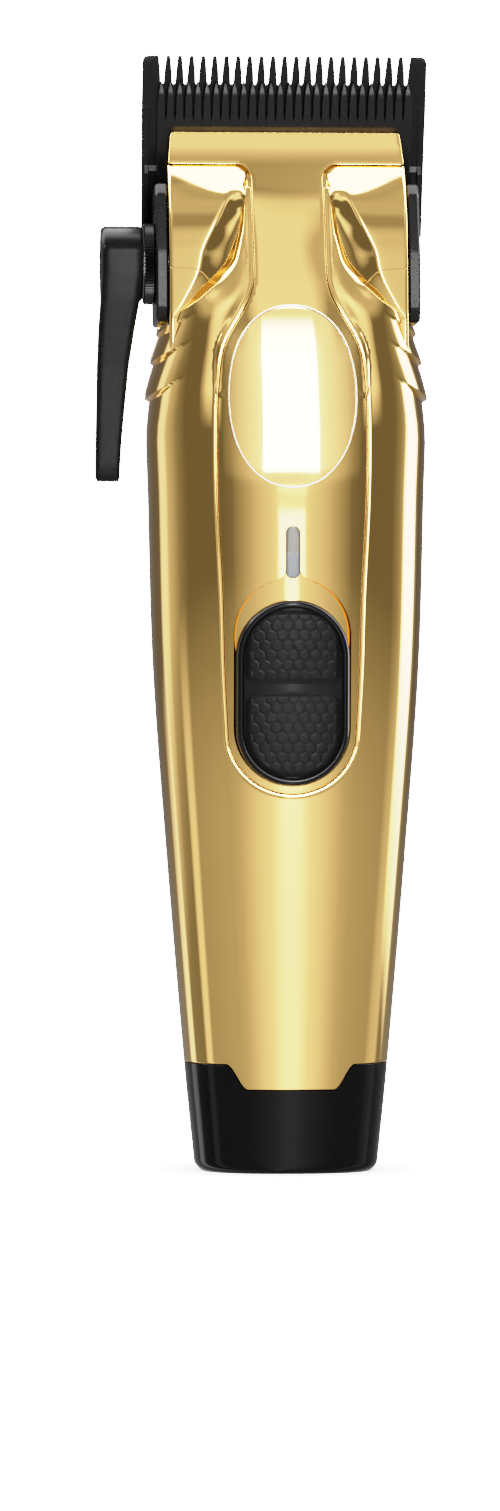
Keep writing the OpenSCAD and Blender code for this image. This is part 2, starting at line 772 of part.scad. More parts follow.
module cutter() {
    color(black) blade_frame() difference() {
        prism(-cutter_t - fit, -fit) polygon(cutter_outline());
        // bevel on the tips and a step across the body
        side_prism(-far, far) polygon([
            [-cutter_t - 1, cutter_tip - 1.6], [-cutter_t - fit, cutter_tip - 1.6], [-0.75, cutter_tip + 0.4],
            [-0.75, 60], [-cutter_t - 1, 60]
        ]);
        side_prism(-far, far) polygon([
            [-cutter_t - 1, 0], [-cutter_t + 0.45, 0], [-cutter_t + 0.45, cutter_tip - 8.3], [-cutter_t - 1, cutter_tip - 7.8]
        ]);
        mirrored() translate([4, -far, cutter_heel + 3]) rotate([-90, 0, 0]) cylinder(r = 1.02, h = 2 * far);
    }
}

yoke_face = -cutter_t + 0.4;    // where the yoke lies against the cutter, across the blade

module cutter_yoke() {
    slot = pin_r + 2 * cutter_throw + 0.1;
    color([0.85, 0.85, 0.82]) difference() {
        union() {
            blade_frame() translate([-6.5, yoke_face - 2.2, cutter_heel + 0.3]) cube([13, 2.2, 5.4]);
            side_prism(-2, 2) polygon([[4.2, 161], [2.7, 161], [-1.4, 153.8], [-1.4, 150], [2.4, 150], [2.6, 153], [5.6, 158]]);
            side_prism(-5.6, 5.6) polygon([[-1.4, 153], [-1.4, 147], [2.4, 147], [2.4, 153]]);
            // fork around the drive pin
            translate([-5.6, motor_y - 3.9, 133]) cube([11.2, 7.8, 2.6]);
            side_prism(-5.6, 5.6) polygon([[-2.9, 133], [-2.9, 136], [-1.4, 148], [2.4, 148], [0.5, 144], [-0.9, 135.4], [-0.9, 133]]);
        }
        translate([-slot, motor_y - slot + 0.4, 130]) cube([2 * slot, 2 * slot + 4, 9.5]);
        translate([0, rod_y, rod_z]) rod(1.05, -far, far);
        blade_frame() mirrored() translate([4, -far, cutter_heel + 3]) rotate([-90, 0, 0]) cylinder(r = 1.02, h = 2 * far);
    }
}

module yoke_screws() {
    color(steel) blade_frame() mirrored() translate([4, yoke_face - 2.2, cutter_heel + 3])
        rotate([-90, 0, 0]) screw(1, 3.7, 1.8, 0.8);
}

module guide_rod() {
    color(steel) translate([0, rod_y, rod_z]) rod(1, -16.15, 16.15);
}

// Leaf spring from the head frame's bridge to the cutter's face
module tension_spring() {
    color(steel) mirrored() blade_frame() side_prism(9, 12) polygon([
        [-6.8, 9.62], [-6.2, 9.62], [-4.6, 14], [-2.27, 16.8], [-2.27, 17.6], [-2.9, 17.6], [-5.1, 14.3]
    ]);
}

// ---- Frames ----

module head_frame() {
    back = -2.6 / cos(blade_tilt);
    function edge(z) = heel_y - (z - heel_z) * tan(blade_tilt) + back;
    color([0.16, 0.16, 0.17]) difference() {
        union() {
            mirrored() side_prism(16.2, 17.4) polygon([
                [-8, 127], [-8.2, 143], [-6.6, 149], [-3.4, 154.5], [-0.4, 158], [1.6, 160.5],
                [edge(160.5), 160.5], [edge(143), 143], [9.5, 137], [8.6, 133], [8.6, 127]
            ]);
            translate([-17.4, -8, 125.4]) cube([34.8, 16.6, 2]);
            // bridge that holds the tension springs
            blade_frame() translate([-16.3, -8.4, 7.8]) cube([32.6, 1.8, 1.8]);
            blade_frame() mirrored() translate([8.6, -7.4, 7.8]) cube([3.8, 1.7, 1.75]);
        }
        translate([0, motor_y, 120]) cylinder(r = 6.2, h = 12);
        translate([0, lever_y, lever_z]) rod(shaft_r + fit, -far, 0);
        translate([-7.4, -20, 141]) cube([14.8, 40, 16]);
        translate([-16.1, -20, 139.4]) cube([6.9, 24, 10.6]);
        translate([0, rod_y, rod_z]) rod(1.01, -16.18, 16.18);
        mirrored() translate([10.5, -4.5, 120]) cylinder(r = 1.1, h = 12);
        mirrored() for (p = plate_screw_places) translate([0, p[0], p[1]]) rod(0.81, 10, 20);
    }
}

module chassis() {
    color([0.16, 0.16, 0.17]) difference() {
        union() {
            translate([-9.8, -8.6, 8]) cube([19.6, 17.2, 2]);
            for (y = [-8, 8]) translate([0, y, 4.8]) cylinder(r = 2.2, h = 4);
            mirrored() translate([9.5, -7.4, 9]) cube([1.3, 13.4, 74]);
            translate([-10, -7.5, 9]) cube([20, 0.9, 74]);
            translate([0, motor_y, 80.5]) cylinder(r = 14, h = 3);
            translate([0, motor_y, 83]) difference() {
                cylinder(r = 14, h = 36.4);
                translate([0, 0, -1]) cylinder(r = motor_d / 2 + 0.15, h = motor_h + 2.2);
            }
            // posts up to the head frame
            mirrored() translate([10.5, -4.5, 116.5]) cylinder(r = 2.4, h = 8.8);
        }
        translate([0, motor_y, 110]) cylinder(r = 5.3, h = 20);
        for (x = [-8, 8]) translate([x, motor_y, 110]) cylinder(r = 1.1, h = 20);
        mirrored() translate([10.5, -4.5, 119.8]) cylinder(r = 0.86, h = 6);
        for (y = [-8, 8]) translate([0, y, 3]) cylinder(r = 1.01, h = 8);
        // windows for the leads
        translate([-4, motor_y + 6, 79]) cube([8, 10, 12]);
        mirrored() translate([6, -9, 78]) cube([3, 5, 6]);
        for (z = [20, 72]) mirrored() translate([7.2, -10, z]) rotate([-90, 0, 0]) cylinder(r = 0.86, h = 4);
    }
}

module chassis_screws() {
    color(steel) mirrored() translate([10.5, -4.5, 127.4]) rotate([180, 0, 0]) screw(0.85, 7, 1.8, 0.9);
}

module shell_screws() {
    color(steel) for (z = [34, 50]) mirrored() translate([14.2, 7.1, z]) rotate([90, 0, 0]) screw(0.84, 9.6, 1.8, 0.9);
}

// ---- Motor ----

module motor_can() {
    color(steel) translate([0, motor_y, motor_z]) difference() {
        translate([0, 0, 2]) cylinder(r = motor_d / 2, h = motor_h - 2);
        translate([0, 0, 1]) cylinder(r = motor_d / 2 - 1, h = motor_h - 2.4);
        translate([0, 0, 20]) cylinder(r = 3.05, h = 20);
        for (x = [-8, 8]) translate([x, 0, 20]) cylinder(r = 0.86, h = 20);
    }
}

module motor_end_bell() {
    color(black) translate([0, motor_y, motor_z]) difference() {
        union() {
            cylinder(r = motor_d / 2, h = 1.95);
            cylinder(r = motor_d / 2 - 1.05, h = 4);
        }
        translate([0, 0, 0.8]) cylinder(r = 3.05, h = 6);
    }
}

module motor_stator() {
    color(copper) translate([0, motor_y, motor_z + 6]) difference() {
        cylinder(r = motor_d / 2 - 1.05, h = 21);
        translate([0, 0, -1]) cylinder(r = 7.6, h = 30);
        for (i = [0 : 5]) rotate([0, 0, i * 60]) translate([9.2, -0.6, -1]) cube([4, 1.2, 30]);
    }
}

module motor_bearings() {
    color(steel) translate([0, motor_y, motor_z]) for (z = [1, 30.3]) translate([0, 0, z]) difference() {
        cylinder(r = 3, h = 1.7);
        translate([0, 0, -1]) cylinder(r = 1.5 + fit, h = 5);
    }
}

module motor_rotor() {
    color(steel) translate([0, motor_y, motor_z]) {
        translate([0, 0, 1.1]) cylinder(r = 1.5, h = cam_z + 2.9 - motor_z);
        translate([0, 0, 7]) cylinder(r = 7.2, h = 19);
    }
}

module motor_screws() {
    color(steel) for (x = [-8, 8]) translate([x, motor_y, 119.4]) rotate([180, 0, 0]) screw(0.84, 4.3, 1.8, 0.9);
}

module eccentric_cam() {
    color(brass) translate([0, motor_y, cam_z]) difference() {
        union() {
            cylinder(r = 4.4, h = 5);
            // counterweight opposite the pin
            intersection() {
                cylinder(r = 5.8, h = 3);
                translate([-10, -10, 0]) cube([10 - 1, 20, 3]);
            }
        }
        translate([0, 0, -1]) cylinder(r = 1.51, h = 5.1);
        translate([cutter_throw, 0, 4]) cylinder(r = pin_r + 0.01, h = 3);
    }
}

module drive_pin() {
    color(steel) translate([cutter_throw, motor_y, cam_z + 4.15]) cylinder(r = pin_r, h = pin_top - cam_z - 4.15);
}

// ---- Cell, board and leads ----

module lithium_cell() {
    color([0.15, 0.35, 0.6]) translate([0, cell_y, cell_z]) cylinder(r = cell_d / 2, h = cell_len);
}

module cell_contacts() {
    color(steel) translate([0, cell_y, 0]) {
        translate([-3, -3, cell_z - 0.45]) cube([6, 6, 0.4]);
        translate([-3, -3, cell_z + cell_len + 0.05]) cube([6, 6, 0.4]);
    }
}

module control_board() {
    color([0.05, 0.3, 0.15]) difference() {
        translate([-9.2, board_y, 12]) cube([18.4, board_t, 68]);
        for (z = [20, 72]) mirrored() translate([7.2, -20, z]) rotate([-90, 0, 0]) cylinder(r = 1, h = 20);
    }
}

module board_screws() {
    color(steel) for (z = [20, 72]) mirrored() translate([7.2, board_y, z]) rotate([-90, 0, 0]) screw(0.85, 2.6, 1.5, 0.7);
}

module board_parts() {
    front = board_y - 0.02;
    color([0.1, 0.1, 0.1]) {
        translate([-3, front - 1.1, 40]) cube([6, 1.1, 6]);
        translate([-6, front - 0.9, 52]) cube([4.5, 0.9, 4]);
        translate([2, front - 1.6, 30]) cube([4, 1.6, 4]);
        for (z = [24, 28, 32]) translate([-6, front - 0.6, z]) cube([1.6, 0.6, 0.9]);
        translate([4, front, 60]) rotate([90, 0, 0]) cylinder(r = 1.8, h = 3);
    }
    color([0.9, 0.9, 0.8]) translate([-1, front - 0.8, 78.2]) cube([2, 0.8, 1.6]);
}

// Switch body on the board with a notch that takes the slider's stem
module slide_switch() {
    color(steel) difference() {
        translate([-3.6, board_y - 3.6, 66]) cube([7.2, 3.58, 11.6]);
        translate([-2, board_y - 8, 68.7]) cube([4, 6.8, 7.3]);
    }
}

// A round lead through a list of points
module lead(points, r) {
    n = 8;
    m = len(points);
    function unit(v) = v / norm(v);
    function along(i) = unit(points[min(i + 1, m - 1)] - points[max(i - 1, 0)]);
    rings = [for (i = [0 : m - 1])
        let (t = along(i), u = unit(cross(t, [1, 0.2, 0.1])), v = cross(t, u))
        each [for (j = [0 : n - 1]) points[i] + r * (cos(j * 360 / n) * u + sin(j * 360 / n) * v)]
    ];
    polyhedron(
        points = rings,
        faces = concat(
            [for (i = [0 : m - 2], j = [0 : n - 1])
                let (a = i * n + j, b = i * n + (j + 1) % n)
                each [[a, b + n, b], [a, a + n, b + n]]],
            [[for (j = [0 : n - 1]) j]],
            [[for (j = [n - 1 : -1 : 0]) (m - 1) * n + j]]
        )
    );
}

module cell_leads() {
    color([0.7, 0.1, 0.1]) mirrored() lead([[5, -9.7, 15], [5, -9.9, 12.6], [5, -9.5, 11.4], [5, -8.1, 10.8]], 0.45);
}

module motor_leads() {
    color([0.1, 0.1, 0.1]) mirrored()
        lead([[7.5, -9.7, 74.5], [7.5, -10.4, 77], [7.6, -11.7, 79.5], [8, -12.1, 83], [9.2, -12, 87], [9.1, -10.4, 90]], 0.45);
}

front_shell();
rear_shell();
spine_panel();
nose_cap();
head_collar();
medallion();
switch_tray();
switch_slider();
upper_thumb_pad();
lower_thumb_pad();
status_light();
end_cap();
cap_screws();
charge_socket();
charge_contacts();
left_side_plate();
right_side_plate();
side_plate_screws();
taper_lever();
lever_shaft();
lever_screw();
detent_ring();
fixed_blade();
blade_screws();
blade_carrier();
cutter();
cutter_yoke();
yoke_screws();
guide_rod();
tension_spring();
head_frame();
chassis();
chassis_screws();
shell_screws();
motor_can();
motor_end_bell();
motor_stator();
motor_bearings();
motor_rotor();
motor_screws();
eccentric_cam();
drive_pin();
lithium_cell();
cell_contacts();
cell_leads();
motor_leads();
control_board();
board_parts();
slide_switch();
board_screws();
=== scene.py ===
import json
import math

import bmesh
import bpy
import numpy as np
from mathutils import Matrix, Vector
from mathutils.geometry import delaunay_2d_cdt
from mathutils.kdtree import KDTree


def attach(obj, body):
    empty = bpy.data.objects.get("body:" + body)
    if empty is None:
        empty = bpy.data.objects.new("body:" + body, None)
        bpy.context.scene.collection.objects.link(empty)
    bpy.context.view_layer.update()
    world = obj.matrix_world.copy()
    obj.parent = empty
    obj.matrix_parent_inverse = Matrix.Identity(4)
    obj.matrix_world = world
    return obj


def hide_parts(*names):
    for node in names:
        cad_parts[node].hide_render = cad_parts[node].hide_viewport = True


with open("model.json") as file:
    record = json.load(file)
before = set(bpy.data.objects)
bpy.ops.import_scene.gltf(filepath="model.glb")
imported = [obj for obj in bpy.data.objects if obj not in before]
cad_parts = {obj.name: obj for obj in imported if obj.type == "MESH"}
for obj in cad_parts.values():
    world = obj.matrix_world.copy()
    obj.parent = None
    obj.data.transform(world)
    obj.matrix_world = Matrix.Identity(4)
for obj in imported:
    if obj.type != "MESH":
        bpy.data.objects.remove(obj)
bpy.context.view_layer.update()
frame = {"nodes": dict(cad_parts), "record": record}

MM = 0.001
scene = bpy.context.scene

# ---- Camera ----

YAW = 3.3          # degrees that the camera stands to the left of the front
DISTANCE = 1.0
AIM = Vector((-0.00568, 0.0, 0.06616))
FRAME_H = 0.24176  # height of the view at the object

yaw = math.radians(YAW)
ahead = Vector((math.sin(yaw), math.cos(yaw), 0.0))
cam_data = bpy.data.cameras.new("camera")
cam_data.lens = 36.0 * DISTANCE / FRAME_H
cam_data.sensor_width = 36.0
cam_data.clip_start, cam_data.clip_end = 0.05, 50.0
cam = bpy.data.objects.new("camera", cam_data)
scene.collection.objects.link(cam)
cam.location = AIM - ahead * DISTANCE
cam.rotation_euler = ahead.to_track_quat("-Z", "Y").to_euler()
scene.camera = cam
scene.view_settings.view_transform = "Standard"
scene.view_settings.look = "None"

# A soft shoulder, so that polished gold goes from brown through tan to cream: scene value to shown value
SHOULDER = [
    (0, 0), (0.1, 0.1), (0.2, 0.19), (0.45, 0.367), (0.67, 0.485), (0.83, 0.575), (1.0, 0.65), (1.2, 0.71),
    (1.43, 0.765), (1.68, 0.81), (1.95, 0.838), (2.6, 0.87), (4.1, 0.9), (7.1, 0.94), (12, 1.0)]
WHITE = 12.0
scene.view_settings.use_curve_mapping = True
tone = scene.view_settings.curve_mapping
tone.black_level, tone.white_level = (0, 0, 0), (WHITE, WHITE, WHITE)
points = tone.curves[3].points
for scene_value, shown in SHOULDER[1:-1]:
    points.new(scene_value / WHITE, shown)
for point in points:
    point.handle_type = "VECTOR"
tone.update()

# ---- Node helpers ----


class Nodes:
    def __init__(self, tree):
        self.tree = tree
        tree.nodes.clear()

    def put(self, socket, value):
        if isinstance(value, bpy.types.NodeSocket):
            self.tree.links.new(value, socket)
        else:
            socket.default_value = value

    def fill(self, node, inputs):
        for key, value in inputs.items():
            self.put(node.inputs[key], value)

    def add(self, kind, *inputs, **sets):
        """A node with its properties set, and its first inputs."""
        n = self.tree.nodes.new(kind)
        for k, v in sets.items():
            setattr(n, k, v)
        self.fill(n, dict(enumerate(inputs)))
        return n

    def math(self, op, a, b=0.0):
        return self.add("ShaderNodeMath", a, b, operation=op).outputs[0]

    def plus(self, a, b):
        return self.math("ADD", a, b)

    def times(self, a, b):
        return self.math("MULTIPLY", a, b)

    def remap(self, v, a, b, c=0.0, d=1.0, smooth=False):
        kind = "SMOOTHSTEP" if smooth else "LINEAR"
        return self.add("ShaderNodeMapRange", v, a, b, c, d, interpolation_type=kind).outputs[0]

    def ramp(self, value, stops):
        """Grey levels at places from 0 to 1."""
        n = self.add("ShaderNodeValToRGB", value)
        elements = n.color_ramp.elements
        elements.remove(elements[-1])
        for i, (place, grey) in enumerate(stops):
            stop = elements.new(place) if i else elements[0]
            stop.position, stop.color = place, (grey, grey, grey, 1.0)
        return n.outputs[0]

    def noise(self, vector, scale, detail=2.0, rough=0.5):
        n = self.add("ShaderNodeTexNoise", vector)
        self.fill(n, {"Scale": scale, "Detail": detail, "Roughness": rough})
        return n.outputs["Fac"]

    def mix_color(self, fac, a, b):
        n = self.add("ShaderNodeMix", fac, data_type="RGBA")
        self.fill(n, {6: (*a, 1.0), 7: (*b, 1.0)})
        return n.outputs[2]

    def mix_shader(self, fac, a, b):
        return self.add("ShaderNodeMixShader", fac, a, b).outputs[0]

    def place(self, scale=(1, 1, 1), rotate=(0, 0, 0)):
        n = self.add("ShaderNodeMapping", self.add("ShaderNodeTexCoord").outputs["Object"])
        self.fill(n, {"Scale": scale, "Rotation": rotate})
        return n.outputs[0]

    def bump(self, height, strength, distance):
        n = self.add("ShaderNodeBump")
        self.fill(n, {"Strength": strength, "Distance": distance, "Height": height})
        return n.outputs[0]


# ---- World: a plain studio of softboxes round the object ----

world = bpy.data.worlds.new("studio")
scene.world = world
world.use_nodes = True
w = Nodes(world.node_tree)
sep = w.add("ShaderNodeSeparateXYZ", w.add("ShaderNodeTexCoord").outputs["Generated"])
toward_front = w.times(sep.outputs[1], -1.0)
DEG = 180 / math.pi
# in degrees: turn is 0 in front and 90 on the right, rise is 0 level and 90 overhead,
# and over is 0 in front, 90 overhead and 180 behind
turn = w.times(w.math("ARCTAN2", sep.outputs[0], toward_front), DEG)
rise = w.times(w.math("ARCSINE", sep.outputs[2]), DEG)
over = w.times(w.math("ARCTAN2", sep.outputs[2], toward_front), DEG)


def light_ramp(value, low, high, stops):
    """Light levels at stops of a value that runs from low to high."""
    peak = max(v for _, v in stops)
    fac = w.remap(value, low, high)
    shown = w.ramp(fac, [((x - low) / (high - low), v / peak) for x, v in stops])
    return w.times(shown, peak)


def blend(a, b, fac):
    return w.plus(w.times(a, w.math("SUBTRACT", 1.0, fac)), w.times(b, fac))


off_centre = w.math("ABSOLUTE", w.math("SUBTRACT", turn, YAW))
FRONT = 40.0  # how far the front softbox's glow reaches to either side
front_low = light_ramp(off_centre, 0, FRONT, [
    (0, 4.2), (2.5, 3.4), (7, 2.2), (13, 1.8), (21, 1.3), (29, 0.92), (39, 0.76)])
front_mid = light_ramp(off_centre, 0, FRONT, [
    (0, 9), (2.5, 8.5), (3.6, 2.0), (7, 1.62), (12, 1.29), (17, 0.86), (23, 0.56), (30, 0.26), (38, 0.2)])
front_high = light_ramp(off_centre, 0, FRONT, [
    (0, 60), (2.9, 60), (3.4, 3.6), (6, 2.7), (12, 1.9), (20, 1.2), (30, 0.5), (38, 0.2)])
sides_low = light_ramp(turn, -180, 180, [
    (-180, 0.45), (-142, 0.4), (-137, 2.6), (-127, 2.9), (-122, 0.35), (-96, 0.3), (-91, 1.8), (-84, 1.9),
    (-79, 0.62), (-60, 0.67), (-40, 0.76), (40, 0.76), (60, 0.67), (82, 0.62), (92, 1.1), (106, 1.3),
    (114, 0.3), (180, 0.45)])
sides_high = light_ramp(turn, -180, 180, [
    (-180, 0.22), (-150, 0.16), (-134, 0.18), (-128, 2.4), (-117, 2.4), (-111, 1.1), (-100, 0.75),
    (-90, 0.38), (-76, 0.2), (-40, 0.2), (40, 0.2), (80, 0.21), (92, 0.45), (99, 0.9), (105, 14), (125, 14),
    (131, 0.5), (139, 0.14), (180, 0.22)])
upper = light_ramp(over, 0, 180, [
    (0, 2.4), (30, 2.4), (64, 2.1), (67, 1.7), (70, 1.05), (72, 0.75), (74, 0.56), (82, 0.55), (85, 0.9),
    (87, 20), (128, 20), (134, 0.8), (150, 0.35), (180, 0.3)])
upper_side = light_ramp(over, 0, 180, [
    (0, 0.8), (30, 0.78), (37, 0.5), (46, 0.52), (54, 0.95), (70, 1.0), (78, 0.75), (85, 0.9), (87, 20),
    (128, 20), (134, 0.8), (150, 0.35), (180, 0.3)])
in_front = w.remap(off_centre, FRONT - 4, FRONT, 1.0, 0.0)
lower_part = blend(sides_low, front_low, in_front)
level_part = blend(sides_high, front_mid, in_front)
raised_part = blend(sides_high, front_high, in_front)
below = blend(lower_part, level_part, w.remap(rise, -7.0, -1.5))
raised_end = w.math("MINIMUM", front_mid, 2.3)
below = blend(below, raised_end, w.times(in_front, w.remap(rise, 1.1, 1.5)))
facing = blend(below, raised_part, w.remap(rise, 2.7, 3.3))
top = blend(upper, upper_side, w.remap(off_centre, 8, 13))
light = blend(facing, top, w.remap(rise, 27, 39, smooth=True))
streak = light_ramp(off_centre, 0, 90, [(0, 0), (38, 0), (45, 2.2), (50, 2.2), (60, 0), (90, 0)])
light = w.plus(light, w.times(streak, w.times(w.remap(rise, 7, 14), w.remap(rise, 60, 50))))


def background(strength):
    return w.add("ShaderNodeBackground", (1.0, 1.0, 1.0, 1.0), strength).outputs[0]


# polished parts reflect the studio, matt ones are lit softly from all round, and the view behind is white
path = w.add("ShaderNodeLightPath")
lit = w.mix_shader(path.outputs["Is Glossy Ray"], background(1.1), background(light))
seen = w.mix_shader(path.outputs["Is Camera Ray"], lit, background(WHITE * 1.2))
w.add("ShaderNodeOutputWorld", seen)

# ---- Materials ----


def material(name):
    m = bpy.data.materials.new(name)
    m.use_nodes = True
    n = Nodes(m.node_tree)
    b = n.add("ShaderNodeBsdfPrincipled")
    n.add("ShaderNodeOutputMaterial", b.outputs[0])
    return m, n, b


def gold(name, tint=(0.90, 0.53, 0.148), rough=0.03, wave=0.12):
    m, n, b = material(name)
    p = n.place()
    cloud = n.noise(p, 60.0, 3.0, 0.55)
    fine = n.noise(p, 900.0, 2.0, 0.6)
    scratch = n.noise(n.place(scale=(1, 1, 0.04), rotate=(0.2, 0.1, 0.0)), 2600.0, 2.0, 0.5)
    n.fill(b, {
        "Metallic": 1.0,
        "Base Color": n.mix_color(cloud, [c * 0.96 for c in tint], tint),
        "Roughness": n.plus(n.remap(cloud, 0.35, 0.75, rough, rough + 0.035),
                            n.remap(scratch, 0.62, 0.8, 0.0, 0.035)),
        "Normal": n.bump(n.plus(fine, n.times(scratch, 0.4)), wave, 0.000004)})
    return m


def plastic(name, color, rough, grain, grain_scale=2500.0, spec=0.5):
    m, n, b = material(name)
    p = n.place()
    cloud = n.noise(p, 90.0, 3.0, 0.6)
    tiny = n.noise(p, grain_scale, 2.0, 0.6)
    n.fill(b, {
        "Base Color": n.mix_color(cloud, [c * 0.85 for c in color], [c * 1.15 for c in color]),
        "Roughness": n.plus(n.remap(cloud, 0.3, 0.7, rough * 0.85, rough * 1.15),
                            n.remap(tiny, 0.3, 0.7, -0.02, 0.04)),
        "Specular IOR Level": spec,
        "Normal": n.bump(tiny, grain, 0.00002)})
    return m


def metal(name, color, rough, stretch=(1, 1, 1), scale=1800.0, depth=0.25):
    m, n, b = material(name)
    line = n.noise(n.place(scale=stretch), scale, 3.0, 0.6)
    cloud = n.noise(n.place(), 120.0, 3.0, 0.6)
    n.fill(b, {
        "Metallic": 1.0,
        "Base Color": n.mix_color(cloud, [c * 0.88 for c in color], color),
        "Roughness": n.plus(n.remap(line, 0.3, 0.7, rough * 0.7, rough * 1.3),
                            n.remap(cloud, 0.4, 0.7, 0.0, 0.05)),
        "Normal": n.bump(line, depth, 0.000006)})
    return m


GOLDS = {
    "gold_plate": (),
    "gold_mirror": ((0.92, 0.56, 0.17), 0.015, 0.05),
    # a paler gold whose tint paints a highlight line on the medallion's rim
    "gold_rim": ((1.0, 0.86, 0.58), 0.22, 0.05),
}
PLASTICS = {
    "slider_gloss": ((0.004, 0.004, 0.0042), 0.14, 0.04, 2500.0, 0.14),
    "thumb_pad": ((0.008, 0.008, 0.0084), 0.36, 0.2, 3500.0, 0.09),
    "cap_gloss": ((0.003, 0.003, 0.0032), 0.09, 0.03, 2500.0, 0.07),
    "side_black": ((0.005, 0.005, 0.0053), 0.26, 0.08, 3000.0, 0.10),
    "lever_black": ((0.006, 0.006, 0.0064), 0.28, 0.1, 3000.0, 0.05),
    "blade_black": ((0.004, 0.004, 0.0044), 0.24, 0.15, 2200.0, 0.07),
    "cutter_dark": ((0.006, 0.006, 0.0065), 0.22, 0.15, 2200.0, 0.08),
    "white_plastic": ((0.72, 0.71, 0.67), 0.42, 0.2),
    "frame_plastic": ((0.02, 0.02, 0.022), 0.5, 0.5, 1500.0),
    "cell_wrap": ((0.03, 0.12, 0.42), 0.22, 0.1, 700.0),
    "red_lead": ((0.45, 0.02, 0.015), 0.4, 0.2),
    "black_lead": ((0.015, 0.015, 0.015), 0.4, 0.2),
    "board_green": ((0.01, 0.12, 0.05), 0.3, 0.3, 1200.0),
    "chip_black": ((0.02, 0.02, 0.02), 0.45, 0.3),
}
METALS = {
    # a lighter grey that paints highlights on the fixed blade's ledges and strips
    "worn_edge": ((0.12, 0.12, 0.125), 0.35, (0.05, 1, 1)),
    "steel": ((0.62, 0.61, 0.60), 0.26),
    "socket_steel": ((0.68, 0.68, 0.69), 0.22, (1, 1, 0.1)),
    "contact_plate": ((0.85, 0.66, 0.33), 0.2),
    "black_steel": ((0.02, 0.02, 0.022), 0.3),
    "spring_steel": ((0.42, 0.43, 0.5), 0.25, (1, 1, 0.1)),
    "motor_steel": ((0.62, 0.63, 0.64), 0.3, (1, 1, 0.05)),
    "copper": ((0.70, 0.34, 0.17), 0.32, (1, 1, 0.05), 900.0, 0.6),
    "brass": ((0.75, 0.55, 0.25), 0.24),
    "nickel": ((0.7, 0.68, 0.63), 0.25, (1, 0.1, 1)),
}
MATS = {name: make(name, *look) for make, looks in ((gold, GOLDS), (plastic, PLASTICS), (metal, METALS))
        for name, look in looks.items()}

lens, n, b = material("clear_lens")
upper_half = n.remap(n.add("ShaderNodeSeparateXYZ", n.place()).outputs[2], 0.0978, 0.0982)
clear = n.remap(n.noise(n.place(), 150.0), 0.3, 0.7, 0.5, 0.7)
n.fill(b, {
    "Base Color": n.mix_color(upper_half, (0.34, 0.36, 0.40), (0.80, 0.74, 0.62)),
    "IOR": 1.49,
    "Roughness": n.remap(n.noise(n.place(), 400.0), 0.3, 0.7, 0.04, 0.12),
    "Transmission Weight": n.times(upper_half, clear)})
MATS["clear_lens"] = lens

floor_mat, n, b = material("floor")
pale = n.mix_color(n.noise(n.place(), 3.0, 3.0), (0.86, 0.86, 0.86), (0.9, 0.9, 0.9))
n.fill(b, {"Roughness": 0.9, "Base Color": pale})
# seen by the camera the floor glows white, darkened by ambient occlusion close to the object: a painted
# contact shadow
corner = n.add("ShaderNodeAmbientOcclusion", samples=8)
n.fill(corner, {"Distance": 0.012})
lit = n.add("ShaderNodeEmission")
n.fill(lit, {1: n.times(n.math("POWER", corner.outputs["AO"], 1.4), WHITE * 1.25)})
path = n.add("ShaderNodeLightPath")
n.put(n.tree.nodes["Material Output"].inputs[0],
      n.mix_shader(path.outputs["Is Camera Ray"], b.outputs[0], lit.outputs[0]))

# ---- The body's shape, in millimetres ----

BODY = np.array([
    [0, 14.5, 13.6, 13.6], [17, 16.2, 15.0, 15.0], [50, 19.0, 16.8, 16.6], [80, 21.2, 18.2, 17.8],
    [107, 22.0, 18.9, 18.4], [123, 22.2, 18.3, 18.0], [135, 20.3, 16.2, 16.9], [144, 19.4, 12.6, 15.4],
    [153, 19.2, 7.2, 12]])
SPINE = np.array([
    [123, -18.9], [130, -17.7], [140, -14.3], [150, -9.0], [154, -6.7], [156, -5.43], [158.5, -3.66],
    [161, -1.93], [163.5, -0.38], [166, 0.95]])
BLOCK = np.array([
    [128, -11.3], [136, -10.6], [145, -9.9], [148, -9.3], [151, -8.5], [153.5, -7.4], [156.5, -5.25],
    [160.4, -1.7]])
CHANNEL = np.array([
    [128, -9.6], [136, -8.7], [145, -7.8], [151, -6.8], [155, -4.9], [158, -2.8], [160.4, -1.5]])
RIDGE = np.array([
    [128, 19.8], [135, 19], [137.4, 17.2], [142.2, 14.6], [146.5, 13.5], [150.4, 11.6], [154.5, 9.7],
    [158, 10.1], [160.4, 10.4]])
PANEL = np.array([
    [69.7, 10.1], [80, 10.65], [91, 10.95], [107, 11.7], [120, 11.8], [126.4, 11.4], [130, 10.8],
    [132.5, 9.8], [136, 7.8], [138.8, 6.4], [141.5, 5.8], [150, 5.75], [160.4, 5.75]])
WING = np.array([
    [7.0, 157.2], [7.3, 155], [7.9, 149.2], [8.9, 145.1], [11.2, 141.2], [14.5, 138.3], [17.5, 136.4],
    [20.2, 134.2]])
POW = 2.5
PANEL_END = 60.0
SEAM = 0.14
TILT = math.radians(20)
TOTAL, FIX_LEN = 178.0, 32.0
HEEL_Y = 1 + FIX_LEN * math.sin(TILT)
HEEL_Z = TOTAL - FIX_LEN * math.cos(TILT)


def curve(t, x, k=1):
    x = np.asarray(x, float)
    u, v = t[:, 0], t[:, k]
    m = np.empty(len(u))
    m[1:-1] = (v[2:] - v[:-2]) / (u[2:] - u[:-2])
    m[0], m[-1] = (v[1] - v[0]) / (u[1] - u[0]), (v[-1] - v[-2]) / (u[-1] - u[-2])
    i = np.clip(np.searchsorted(u, x, side="right") - 1, 0, len(u) - 2)
    h = u[i + 1] - u[i]
    s = np.clip((x - u[i]) / h, 0, 1)
    return ((2 * s**3 - 3 * s**2 + 1) * v[i] + (s**3 - 2 * s**2 + s) * h * m[i]
            + (3 * s**2 - 2 * s**3) * v[i + 1] + (s**3 - s**2) * h * m[i + 1])


def stack(*axes):
    """Points from their coordinates, each an array or one number."""
    return np.stack(np.broadcast_arrays(*axes), -1)


